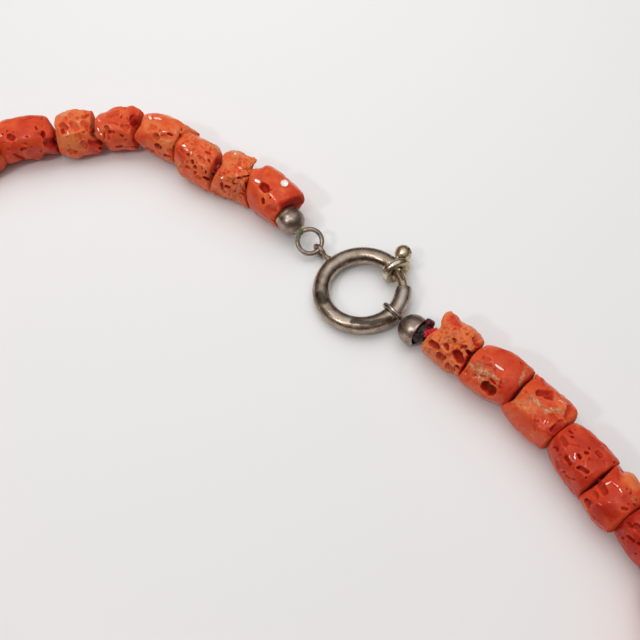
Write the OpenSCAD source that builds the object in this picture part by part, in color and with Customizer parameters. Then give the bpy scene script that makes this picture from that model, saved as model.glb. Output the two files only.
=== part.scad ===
// Coral necklace laid on a table, with a large bolt ring clasp. Millimetres, +Z up.
// The clasp ring's centre is the point that the layout is worked out from.

/* [Clasp] */
// Diameter of the clasp ring, measured to the middle of its tube
ring_d = 18.1; // [17.5:0.1:20]
// Outer diameter of the clasp ring's tube
tube_d = 3.8; // [3.6:0.1:3.9]
// Wall of the clasp ring's tube
tube_wall = 0.45; // [0.3:0.05:0.5]
// Height of the clasp ring's centre above the table
ring_height = 2.65; // [2.65:0.05:3.2]
// How far the ring leans up on its collar, in degrees
ring_lean = 4.4; // [4:0.1:4.6]
// Outer diameter of the rounded collar at the tube's mouth
collar_d = 6.6; // [6:0.1:6.8]
// Thickness of the collar's rounded rim
collar_rim = 1.5; // [1.3:0.1:1.6]
// Diameter of the sliding bolt
bolt_d = 2.3; // [2:0.1:2.4]
// Diameter of the ball knob that draws the bolt back
knob_d = 3.6; // [3:0.1:3.7]
// How far the bolt slides back round the ring, in degrees
bolt_travel = 32; // [20:1:34]

/* [Cups and loops] */
// Wall of the hollow end cups
cup_wall = 0.4; // [0.3:0.05:0.5]
// Diameter of the end cup on the left string
left_cup_d = 6.3; // [5.8:0.1:6.4]
// Length of the left end cup, from its closed end to its mouth
left_cup_length = 5.2; // [4.8:0.1:5.4]
// Diameter of the round end cup on the right string
right_cup_d = 6.8; // [6.4:0.1:6.9]
// Outer diameter of the wire loop on the left cup
left_loop_d = 6.65; // [6.4:0.05:6.7]
// Wire of the left loop
left_loop_wire = 1.1; // [0.9:0.1:1.1]
// Outer diameter of the double wire loop on the right cup
right_loop_d = 5.65; // [5.6:0.05:5.8]
// Wire of the right loop
right_loop_wire = 0.55; // [0.5:0.05:0.6]
// Outer diameter of the eye soldered to the clasp ring
eye_d = 4.2; // [4.1:0.1:4.4]

/* [String] */
// Height of the beads' holes above the table
bore_height = 5.6; // [5.4:0.1:6]
// Diameter of the hole drilled through each bead
bore_d = 1.6; // [1.4:0.1:2]
// Diameter of the thread
thread_d = 0.9; // [0.6:0.1:1]
// Space left between neighbouring beads
bead_gap = 0.25; // [0.15:0.05:0.5]
// Number of beads in the stretch round the back of the neck
back_beads = 25; // [24:1:26]

/* [Hidden] */
// Where the middle of the whole necklace's box lies, seen from the clasp ring's centre
box_centre = [-26.44, -30.69];

ring_r = ring_d / 2;
tube_r = tube_d / 2;
channel_r = tube_r - tube_wall;
round_fn = 64;

// The beads at both ends of the string, in the order of travel round the loop. Lengths are in
// millimetres, headings in degrees. Outer and inner are half widths on the two sides of the hole,
// above is the height over it. Start and end are the end faces' sizes as a share of the middle.
LENGTH = 0;
HEADING = 1;
OUTER = 2;
INNER = 3;
ABOVE = 4;
START = 5;
END = 6;
SQUARE = 7;
LUMP = 8;
PHASE = 9;
//   length heading outer inner above start end  square lump phase
LEFT_BEADS = [
    [11.3, 135.8, 6.5, 4.1, 5.3, 0.84, 0.84, 2.4, 0.02, 40],
    [9.4, 150.7, 6.3, 4.3, 5.5, 0.84, 0.82, 2.7, 0.05, 200],
    [12.1, 142.0, 5.4, 5.1, 5.4, 0.84, 0.80, 2.3, 0.03, 120],
    [12.2, 153.4, 6.2, 3.9, 5.2, 0.84, 0.74, 2.2, 0.02, 10],
    [10.2, 178.5, 5.9, 4.8, 5.4, 0.80, 0.76, 2.4, 0.04, 310],
    [9.5, 189.4, 5.5, 5.5, 5.5, 0.90, 0.82, 2.8, 0.05, 75],
    [13.5, 190.3, 5.2, 5.2, 5.2, 0.82, 0.86, 2.6, 0.03, 250],
    [10.6, 221.8, 5.3, 5.3, 5.3, 0.82, 0.80, 2.4, 0.04, 160],
];
RIGHT_BEADS = [
    [11.0, 120.0, 5.0, 4.0, 5.0, 0.86, 0.88, 2.3, 0.03, 90],
    [8.6, 121.4, 5.2, 5.6, 5.5, 0.84, 0.84, 2.4, 0.03, 20],
    [11.0, 125.0, 5.0, 5.0, 5.3, 0.86, 0.76, 2.4, 0.04, 280],
    [11.9, 123.1, 5.9, 5.2, 5.5, 0.80, 0.80, 2.3, 0.03, 140],
    [11.4, 143.7, 5.4, 5.2, 5.4, 0.80, 0.84, 2.2, 0.02, 330],
    [10.4, 135.7, 5.4, 4.7, 5.4, 0.88, 0.80, 2.8, 0.06, 60],
];

// Where the string passes and the way that it heads there, round the back of the neck
BACK_STATIONS = [
    [-108, -20, 268],
    [-77, -85, 317],
    [4, -105, 5],
];

// The largest hollows, by bead number: place along the bead from -1 to 1, angle round it from
// the inner side upwards, radius and depth in millimetres
BEAD = 0;
ALONG = 1;
ROUND = 2;
RADIUS = 3;
DEPTH = 4;
HOLLOWS = [
    [0, 0.30, 95, 1.9, 0.9],
    [0, 0.00, 60, 1.7, 0.8],
    [1, 0.10, 80, 2.4, 0.7],
    [3, 0.55, 95, 1.7, 0.8],
    [4, -0.62, 110, 2.2, 1.2],
    [4, 0.45, 130, 2.6, 0.8],
    [4, 0.10, 70, 2.0, 0.7],
    [5, 0.60, 110, 2.0, 1.0],
    [5, -0.10, 75, 2.2, 0.7],
    [6, -0.82, 70, 2.4, 0.7],
    [34, 0.55, 60, 1.8, 0.9],
    [36, -0.45, 75, 2.4, 0.8],
    [36, 0.10, 85, 2.6, 0.7],
    [37, 0.20, 60, 2.3, 1.4],
    [38, -0.20, 60, 2.0, 1.2],
    [38, 0.45, 70, 1.8, 0.9],
];

// How far a hollow's rounded rim reaches, as a share of its radius
hollow_spread = 1.3;

// Places along a bead where its cross-section is drawn, and the number of its sides
SECTIONS = [-1, -0.93, -0.76, -0.42, 0, 0.42, 0.76, 0.93, 1];
bead_sides = 16;

// Starts of the two strings, and the way that their end faces look
left_joint = [-16.6, 18.7];
right_joint = [14.6, -12.2];
left_face = 129;
right_face = 142;

function heading_to(a, b) = atan2(b[1] - a[1], b[0] - a[0]);
function toward(angle, distance) = [distance * cos(angle), distance * sin(angle)];
function sum(list, i = 0) = i == len(list) ? [0, 0] : list[i] + sum(list, i + 1);
function steps(rows) = [for (row = rows) toward(row[HEADING], row[LENGTH])];
function walk(start, moves, i = 0) =
    i == len(moves) ? [start] : concat([start], walk(start + moves[i], moves, i + 1));

left_joints = walk(left_joint, steps(LEFT_BEADS));
right_joints = walk(right_joint - sum(steps(RIGHT_BEADS)), steps(RIGHT_BEADS));

// The back stretch is a chain of cubic curves through its stations, cut at even bead lengths
curve_steps = 24;
handle_share = 0.37;
end_turn = 8;
left_end = left_joints[len(left_joints) - 1];
stations = concat(
    [[left_end[0], left_end[1], LEFT_BEADS[len(LEFT_BEADS) - 1][HEADING] + end_turn]],
    BACK_STATIONS,
    [[right_joints[0][0], right_joints[0][1], RIGHT_BEADS[0][HEADING] - end_turn]]
);
function place(station) = [station[0], station[1]];
function cubic(a, b, c, d, t) =
    pow(1 - t, 3) * a + 3 * pow(1 - t, 2) * t * b + 3 * (1 - t) * t * t * c + pow(t, 3) * d;
function curve_point(s, t) =
    let (
        a = place(stations[s]),
        d = place(stations[s + 1]),
        handle = handle_share * norm(d - a)
    )
    cubic(a, a + toward(stations[s][2], handle), d - toward(stations[s + 1][2], handle), d, t);
back_curve = concat(
    [for (s = [0 : len(stations) - 2]) for (k = [0 : curve_steps - 1]) curve_point(s, k / curve_steps)],
    [place(stations[len(stations) - 1])]
);
back_lengths = [
    for (i = 0, run = 0; i < len(back_curve); i = i + 1,
        run = i < len(back_curve) ? run + norm(back_curve[i] - back_curve[i - 1]) : run) run
];
back_length = back_lengths[len(back_lengths) - 1];
function back_point(run) = [
    for (axis = [0, 1]) lookup(run, [for (i = [0 : len(back_curve) - 1]) [back_lengths[i], back_curve[i][axis]]])
];

// Beads round the back vary in length and girth within the range of those at the ends
length_spread = 0.14;
length_seed = 11;
girth_seed = 23;
raw_lengths = rands(1 - length_spread, 1 + length_spread, back_beads, length_seed);
function total(list, count, i = 0) = i == count ? 0 : list[i] + total(list, count, i + 1);
back_joints = [
    for (k = [1 : back_beads - 1])
        back_point(back_length * total(raw_lengths, k) / total(raw_lengths, back_beads))
];
function back_bead(k) =
    let (r = rands(0, 1, 8, girth_seed + k))
    [0, 0, 5.2 + 0.8 * r[0], 5.1 + 0.7 * r[1], 5.1 + 0.6 * r[2], 0.76 + 0.12 * r[3],
        0.76 + 0.12 * r[4], 2.2 + 0.6 * r[5], 0.02 + 0.04 * r[6], 360 * r[7]];

joints = concat(left_joints, back_joints, right_joints);
bead_count = len(joints) - 1;
shapes = concat(LEFT_BEADS, [for (k = [0 : back_beads - 1]) back_bead(k)], RIGHT_BEADS);
bead_headings = [for (i = [0 : bead_count - 1]) heading_to(joints[i], joints[i + 1])];
function face_heading(i) =
    i == 0 ? left_face
    : i == bead_count ? right_face
    : heading_to([0, 0], toward(bead_headings[i - 1], 1) + toward(bead_headings[i], 1));
function bead_length(i) = norm(joints[i + 1] - joints[i]);

// Names of the beads, numbered round the loop from the left cup
function bead_name(i) = str("coral_bead_", i < 9 ? "0" : "", i + 1);
bead_names = [for (i = [0 : bead_count - 1]) bead_name(i)];

// Half the girth of a bead at a place along it, as a share of its middle
function swell(shape, along) =
    let (share = along < 0 ? shape[START] : shape[END])
    share + (1 - share) * sqrt(1 - pow(abs(along), 2.6));

// Radius of a bead's rounded cross-section at an angle round it
function girth(shape, angle) =
    let (
        side = cos(angle) > 0 ? shape[INNER] : shape[OUTER],
        tall = sin(angle) > 0 ? shape[ABOVE] : bore_height,
        power = shape[SQUARE]
    )
    pow(pow(abs(cos(angle)) / side, power) + pow(abs(sin(angle)) / tall, power), -1 / power);

function lumps(shape, along, angle) =
    1 + shape[LUMP] * (
        cos(3 * angle + shape[PHASE] + 40 * along)
        + 0.6 * cos(5 * angle - 2 * shape[PHASE] - 70 * along)
        + 0.5 * sin(150 * along + shape[PHASE])
    );

// How deep the hollows of a bead reach at one place on it
function hollow_depth(i, along, angle, radius) = max([0, for (h = HOLLOWS) if (h[BEAD] == i)
    let (
        run = (along - h[ALONG]) * bead_length(i) / 2,
        turn = 2 * radius * sin(min(abs(angle - h[ROUND]), 180) / 2)
    )
    h[DEPTH] * max(0, 1 - (run * run + turn * turn) / pow(hollow_spread * h[RADIUS], 2))]);

function bead_point(i, along, angle) =
    let (
        shape = shapes[i],
        half_length = (bead_length(i) - bead_gap) / 2,
        smooth = girth(shape, angle) * swell(shape, along) * lumps(shape, along, angle),
        radius = smooth - hollow_depth(i, along, angle, smooth),
        across = radius * cos(angle),
        start_slope = tan(bead_headings[i] - face_heading(i)),
        end_slope = -tan(face_heading(i + 1) - bead_headings[i])
    )
    [
        along * half_length + across * (start_slope * (1 - along) + end_slope * (1 + along)) / 2,
        across,
        max(radius * sin(angle), -bore_height)
    ];

// Closed skin over rows of points that run round, with flat ends
module skin(rows) {
    sides = len(rows[0]);
    last = len(rows) - 1;
    corners = [for (row = rows) each row];
    walls = [
        for (r = [0 : last - 1]) for (k = [0 : sides - 1])
            let (a = r * sides + k, b = r * sides + (k + 1) % sides)
            each [[a, a + sides, b], [b, a + sides, b + sides]]
    ];
    first_end = [for (k = [0 : sides - 1]) k];
    last_end = [for (k = [sides - 1 : -1 : 0]) last * sides + k];
    polyhedron(corners, concat(walls, [first_end, last_end]));
}

module coral_bead(i) {
    middle = (joints[i] + joints[i + 1]) / 2;
    drill = bead_length(i) + bore_d * 4;
    color("#c8492b")
    difference() {
        translate([middle[0], middle[1], bore_height])
            rotate([0, 0, bead_headings[i]])
            difference() {
                skin([
                    for (along = SECTIONS)
                        [for (k = [0 : bead_sides - 1]) bead_point(i, along, 360 * k / bead_sides)]
                ]);
                rotate([0, 90, 0]) cylinder(h = drill, d = bore_d, center = true, $fn = round_fn);
            }
        if (i == 0) cup_seat();
    }
}

// The clasp: everything here is in the ring's own frame, its centre at the origin, its tube
// level. Angles run anticlockwise round the ring, seen from above.
collar_angle = 31.5;
collar_turn = 5;
mouth_angle = 28.5;
tube_end_angle = -2;
plug_angle = -13;
filed_angle = -23;
filed_length = 4;
filed_slant = 2.5;
bolt_tip_angle = -6;
bolt_tail_angle = 80;
knob_angle = 44;
knob_reach = ring_r + 4.15;
neck_r = 0.6;
slot_play = 0.15;
eye_angle = 131;
eye_reach = ring_r + 5.05;
eye_wire = 1;
solder_r = 0.85;
eye_stem_r = 0.6;
bolt_play = 0.15;
groove_r = 0.3;
groove_start = 14;
groove_end = 30;
cut_overrun = 4;
lean_heading = 15;
lean_axis = [sin(lean_heading), -cos(lean_heading), 0];

module in_ring_frame() {
    translate([0, 0, ring_height]) rotate(ring_lean, lean_axis) children();
}

module wire_ring(outer_d, wire, gap = 0) {
    rotate([0, 0, gap / 2])
    rotate_extrude(angle = 360 - gap, $fn = round_fn)
    translate([(outer_d - wire) / 2, 0]) circle(d = wire, $fn = 32);
}

// A length of the ring's curve with a round section
module arc(from, to, radius) {
    rotate([0, 0, from])
    rotate_extrude(angle = to - from, $fn = 2 * round_fn)
    translate([ring_r, 0]) circle(r = radius, $fn = round_fn);
}

module at_ring(angle, reach = ring_r) {
    rotate([0, 0, angle]) translate([reach, 0, 0]) children();
}

module knob_slot() {
    half_play = asin((neck_r + slot_play) / (ring_r + tube_r - tube_wall));
    rotate([0, 0, knob_angle - half_play])
    rotate_extrude(angle = bolt_travel + 2 * half_play, $fn = 2 * round_fn)
    translate([ring_r, -(neck_r + slot_play)])
    square([2 * tube_r, 2 * (neck_r + slot_play)]);
}

// The inner side of the tube's end is filed slantwise down to the bolt
module filed_side() {
    at_ring(filed_angle, ring_r - tube_r)
        rotate([0, 0, -filed_slant])
        translate([-tube_d, 0, -tube_r])
        cube([tube_d, filed_length, tube_d]);
}

module clasp_ring() {
    stem_start = ring_r + tube_r - tube_wall / 2;
    color("#7d6e60")
    in_ring_frame()
    difference() {
        union() {
            arc(mouth_angle, 360 + tube_end_angle, tube_r);
            at_ring(collar_angle)
                rotate([90, 0, -collar_turn])
                wire_ring(collar_d, collar_rim);
            at_ring(eye_angle, eye_reach) rotate([90, 0, 0]) wire_ring(eye_d, eye_wire);
            at_ring(eye_angle, stem_start)
                rotate([0, 90, 0])
                cylinder(h = eye_reach - eye_d / 2 + eye_wire / 2 - stem_start, r = eye_stem_r, $fn = round_fn);
            at_ring(eye_angle, ring_r + tube_r + solder_r / 4) sphere(r = solder_r, $fn = round_fn);
        }
        arc(mouth_angle - cut_overrun, 360 + plug_angle, channel_r);
        arc(plug_angle - cut_overrun, tube_end_angle + cut_overrun, bolt_d / 2 + bolt_play);
        filed_side();
        knob_slot();
    }
}

module bolt() {
    color("#8d7c68")
    in_ring_frame()
    difference() {
        union() {
            arc(bolt_tip_angle, bolt_tail_angle, bolt_d / 2);
            at_ring(bolt_tip_angle) sphere(d = bolt_d, $fn = round_fn);
            rotate([0, 0, knob_angle])
                translate([ring_r, 0, 0])
                rotate([0, 90, 0])
                cylinder(h = knob_reach - ring_r, r = neck_r, $fn = round_fn);
            at_ring(knob_angle, knob_reach) sphere(d = knob_d, $fn = round_fn);
        }
        translate([0, 0, bolt_d / 2]) arc(groove_start, groove_end, groove_r);
    }
}

// Turns +Z to a compass heading and a rise above level
module facing(heading, rise) {
    rotate([0, 90 - rise, heading]) children();
}

// The left loop lies in a plane that falls towards the clasp, through the ring's eye
loop_slope = 31;
loop_wire_r = (left_loop_d - left_loop_wire) / 2;
eye_centre = [
    eye_reach * cos(eye_angle),
    eye_reach * sin(eye_angle),
    ring_height + eye_reach * sin(ring_lean) * cos(eye_angle - lean_heading)
];
function on_slope(angle, distance) =
    distance * [cos(angle), sin(angle) * cos(loop_slope), sin(angle) * sin(loop_slope)];
loop_heading = 135.5;
loop_shift = 0.45;
left_pole_gap = 0.15;
loop_centre = eye_centre + on_slope(loop_heading, loop_wire_r + loop_shift);
left_pole = loop_centre + on_slope(loop_heading, left_loop_d / 2 + left_pole_gap);
left_cup_heading = 125.4;
left_cup_rise = 5;
loop_gap = 30;
left_solder_r = 0.95;
left_solder_shift = 0.4;
mouth_taper = 0.2;
seat_play = 0.3;

// Half outline of the left cup: a round end that runs into a slightly narrowing barrel
module left_cup_outline() {
    cup_r = left_cup_d / 2;
    mouth_r = cup_r - mouth_taper;
    difference() {
        union() {
            intersection() {
                translate([0, cup_r]) circle(r = cup_r, $fn = round_fn);
                square([cup_r, cup_r]);
            }
            polygon([[0, cup_r], [cup_r, cup_r], [mouth_r, left_cup_length], [0, left_cup_length]]);
        }
        translate([0, cup_r]) circle(r = cup_r - cup_wall, $fn = round_fn);
        translate([0, cup_r]) square([mouth_r - cup_wall, left_cup_length]);
    }
}

module left_cup() {
    color("#85766a")
    union() {
        translate(left_pole)
            facing(left_cup_heading, left_cup_rise)
            rotate_extrude($fn = round_fn)
            left_cup_outline();
        translate(loop_centre)
            rotate([loop_slope, 0, 0])
            rotate([0, 0, loop_heading])
            union() {
                wire_ring(left_loop_d, left_loop_wire, loop_gap);
                translate([loop_wire_r + left_solder_shift, 0, 0])
                    sphere(r = left_solder_r, $fn = round_fn);
            }
    }
}

// The first bead's end is dished, and the left cup's mouth sits in the dish
module cup_seat() {
    translate(left_pole)
        facing(left_cup_heading, left_cup_rise)
        cylinder(h = left_cup_length + seat_play, d = left_cup_d + 2 * seat_play, $fn = round_fn);
}

// The right loop is a double turn of wire round the tube, leaning a little off upright
right_loop_angle = -42.7;
right_loop_shift = 0.1;
right_loop_reach = ring_r - right_loop_shift;
right_loop_heading = 43.6;
right_loop_tip = 69.4;
right_loop_centre = [
    right_loop_reach * cos(right_loop_angle),
    right_loop_reach * sin(right_loop_angle),
    ring_height + right_loop_reach * sin(ring_lean) * cos(right_loop_angle - lean_heading)
];
right_cup_way = [0.656, -0.750, 0.070];
right_cup_gap = 0.1;
right_cup_reach = right_loop_d / 2 + right_cup_d / 2 + right_cup_gap;
right_cup_centre = right_loop_centre + right_cup_reach * right_cup_way;
right_mouth_heading = -38;
right_mouth_rise = 5;
right_mouth_depth = 1.4;
turn_overlap = 0.06;
loop_turn_gap = right_loop_wire - turn_overlap;
right_solder_r = 0.45;

// Half outline of the right cup: a hollow ball with a wide round mouth
module right_cup_outline() {
    cup_r = right_cup_d / 2;
    intersection() {
        difference() {
            circle(r = cup_r, $fn = round_fn);
            circle(r = cup_r - cup_wall, $fn = round_fn);
        }
        translate([0, -cup_r]) square([cup_r, cup_r + right_mouth_depth]);
    }
}

module right_cup() {
    color("#7b6d62")
    union() {
        translate(right_cup_centre)
            facing(right_mouth_heading, right_mouth_rise)
            rotate_extrude($fn = round_fn)
            right_cup_outline();
        translate(right_loop_centre)
            rotate([0, right_loop_tip, right_loop_heading])
            for (side = [-0.5, 0.5])
            translate([0, 0, side * loop_turn_gap])
            wire_ring(right_loop_d, right_loop_wire);
        translate(right_loop_centre + right_loop_d / 2 * right_cup_way)
            sphere(r = right_solder_r, $fn = round_fn);
    }
}

// The thread runs from a knot in the left cup, through every bead, to a knot in the right cup
function ray(heading, rise) = [cos(rise) * cos(heading), cos(rise) * sin(heading), sin(rise)];
left_mouth_way = ray(left_cup_heading, left_cup_rise);
right_mouth_way = ray(right_mouth_heading, right_mouth_rise);
left_knot_depth = 2.4;
left_knot = left_pole + left_knot_depth * left_mouth_way;
left_entry_run = 1.1;
left_entry = concat(left_joint + toward(bead_headings[0], left_entry_run), [bore_height]);
wax_depth = 1.3;
wax_centre = right_cup_centre + wax_depth * right_mouth_way;
right_entry = [right_joint[0], right_joint[1], bore_height];
right_run = unit(wax_centre - right_entry);
right_knot_depth = 3;
right_knot = wax_centre + right_knot_depth * right_run;
knot_r = 0.7;

thread_route = concat(
    [left_knot, left_entry],
    [for (i = [1 : bead_count]) [joints[i][0], joints[i][1], bore_height]],
    [right_knot]
);
thread_ring_sides = 8;
function unit(v) = v / norm(v);
function thread_way(i) =
    let (before = max(i - 1, 0), after = min(i + 1, len(thread_route) - 1))
    unit(unit(thread_route[min(before + 1, len(thread_route) - 1)] - thread_route[before])
        + unit(thread_route[after] - thread_route[after - 1]));
function thread_ring(centre, way, radius) =
    let (side = unit(cross([0, 0, 1], way)), up = cross(way, side))
    [
        for (k = [0 : thread_ring_sides - 1])
            let (angle = 360 * k / thread_ring_sides)
            centre + radius * (cos(angle) * side + sin(angle) * up)
    ];
// A knot is a short run of wider rings: place along it and size, as shares of its radius
KNOT = [[-1, 0.35], [-0.7, 0.8], [0, 1], [0.7, 0.8]];
function knot_rings(centre, way, turn) = [
    for (step = KNOT) thread_ring(centre + turn * knot_r * step[0] * way, way, knot_r * step[1])
];
last_stop = len(thread_route) - 1;

module thread() {
    left_way = thread_way(0);
    right_way = thread_way(last_stop);
    right_knot_rings = knot_rings(right_knot, right_way, -1);
    color("#b01f2a")
    skin(concat(
        knot_rings(left_knot, left_way, 1),
        [for (i = [1 : last_stop - 1]) thread_ring(thread_route[i], thread_way(i), thread_d / 2)],
        [for (k = [len(KNOT) - 1 : -1 : 0]) right_knot_rings[k]]
    ));
}

// Hardened, blackened thread end that fills the right cup's mouth and bulges out at one side:
// place along the mouth's axis, radius, and shift towards the outer side of the necklace
WAX_ROWS = [
    [-1.5, 0.8, 0],
    [-1.1, 1.6, 0],
    [-0.2, 2.3, 0.1],
    [0.7, 2.3, 0.4],
    [1.6, 2.1, 0.9],
    [2.2, 1.6, 1.1],
    [2.6, 0.8, 1.0],
];
wax_sides = 14;
wax_bore_d = 1.3;

module waxed_knot() {
    thread_heading = heading_to(right_entry, wax_centre);
    color("#2b1718")
    difference() {
        translate(wax_centre)
            facing(right_mouth_heading, right_mouth_rise)
            skin([
                for (row = WAX_ROWS) [
                    for (k = [0 : wax_sides - 1])
                        let (angle = 360 * k / wax_sides)
                        [row[1] * cos(angle), row[1] * sin(angle) + row[2], row[0]]
                ]
            ]);
        translate(wax_centre)
            facing(thread_heading, asin(right_run[2]))
            cylinder(h = 4 * right_cup_d, d = wax_bore_d, center = true, $fn = round_fn);
    }
}

module laid_out() {
    translate([-box_centre[0], -box_centre[1], 0]) children();
}

laid_out() clasp_ring();
laid_out() bolt();
laid_out() left_cup();
laid_out() right_cup();
laid_out() waxed_knot();
laid_out() thread();
for (i = [0 : bead_count - 1]) laid_out() coral_bead(i);
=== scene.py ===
import math
import random
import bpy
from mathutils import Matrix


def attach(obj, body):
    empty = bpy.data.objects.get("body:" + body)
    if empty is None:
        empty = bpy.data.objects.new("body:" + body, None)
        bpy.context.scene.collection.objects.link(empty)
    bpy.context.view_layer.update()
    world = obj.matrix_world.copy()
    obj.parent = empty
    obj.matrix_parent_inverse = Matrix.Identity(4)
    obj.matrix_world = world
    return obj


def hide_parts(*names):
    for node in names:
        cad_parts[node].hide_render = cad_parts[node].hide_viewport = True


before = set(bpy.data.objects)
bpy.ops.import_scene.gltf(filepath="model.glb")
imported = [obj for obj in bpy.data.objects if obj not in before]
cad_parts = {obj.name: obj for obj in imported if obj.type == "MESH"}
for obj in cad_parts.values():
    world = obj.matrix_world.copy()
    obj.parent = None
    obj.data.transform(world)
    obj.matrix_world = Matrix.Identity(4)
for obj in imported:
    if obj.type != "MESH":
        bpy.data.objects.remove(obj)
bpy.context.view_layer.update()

from types import SimpleNamespace

import bpy
import numpy as np
from mathutils import Matrix, Vector, noise

MM = 0.001
BODY = "necklace"

# The photograph: 640 pixels square, taken from 59 degrees above the table
PHOTO_SIZE = 640
SENSOR_MM = 36
LENS_MM = 49.5
FOCAL_PX = LENS_MM / SENSOR_MM * PHOTO_SIZE
CAMERA_TILT = math.radians(31)
CAMERA_PLACE = np.array([17.20, -74.91, 165.4]) * MM
CAMERA_RIGHT = np.array([1, 0, 0])
CAMERA_UP = np.array([0, math.cos(CAMERA_TILT), math.sin(CAMERA_TILT)])
CAMERA_BACK = np.array([0, -math.sin(CAMERA_TILT), math.cos(CAMERA_TILT)])

# The lamps: place in metres from the point they aim at, width in metres, watts
LAMPS = {
    "skylight": ((-0.015, 0.15, 0.25), 0.36, 0.5),
    "window": ((-0.38, -0.26, 0.48), 0.045, 0.55),
    "overhead_lamp": ((-0.30, -0.36, 1.02), 0.06, 0.85),
    "ceiling_lamp": ((-0.52, 0.10, 0.95), 0.045, 0.35),
}
LAMP_AIM = np.array([0.017, 0.03, 0])

# Inputs that a node numbers: a Math node's value, factor and sum, and a colour Mix node's share of the
# colour laid over, the colour under it and the colour laid over. SUM and BLEND are the nodes' settings.
VALUE, TIMES, PLUS = 0, 1, 2
SHARE, UNDER, OVER = 0, 6, 7
SUM = {"operation": "MULTIPLY_ADD"}
BLEND = {"output": 2, "data_type": "RGBA"}

# Dark, middle and pale tone of each metal
SILVER = ("8a796c", "aa9785", "c4b1a0")
SATIN_SILVER = ("7e6e64", "a08c7e", "c0ac9e")
BRASS = ("ac967c", "c8b092", "e0cfb2")
SOLDER = ("a8946c", "cab58c", "ecdcbc")


def linear(hex_colour):
    """An sRGB hex colour as Blender's linear RGBA"""
    parts = [int(hex_colour[i:i + 2], 16) / 255 for i in (0, 2, 4)]
    return [p / 12.92 if p <= 0.04045 else ((p + 0.055) / 1.055) ** 2.4 for p in parts] + [1]


def feed(tree, node, inputs):
    """Links a node's inputs to other nodes' outputs, or sets them to plain values"""
    for key, value in inputs.items():
        if isinstance(value, bpy.types.NodeSocket):
            tree.links.new(value, node.inputs[key])
        else:
            node.inputs[key].default_value = value


def add(tree, kind, inputs=None, stops=(), output=0, **settings):
    """Adds a shader node with its settings, inputs and colour stops, and returns one output"""
    made = tree.nodes.new("ShaderNode" + kind)
    for name, value in settings.items():
        setattr(made, name, value)
    feed(tree, made, inputs or {})
    for index, (place, colour) in enumerate(stops):
        if index >= len(made.color_ramp.elements):
            made.color_ramp.elements.new(place)
        stop = made.color_ramp.elements[index]
        stop.position = place
        stop.color = linear(colour) if isinstance(colour, str) else [colour] * 3 + [1]
    return made.outputs[output]


def new_material(name):
    """An empty material, its nodes, its Principled shader and Object coordinates in millimetres"""
    material = bpy.data.materials.new(name)
    material.use_nodes = True
    tree = material.node_tree
    place = add(tree, "VectorMath", {0: add(tree, "TexCoord", output="Object"), "Scale": 1 / MM},
                operation="SCALE")
    return material, tree, tree.nodes["Principled BSDF"], place


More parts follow.
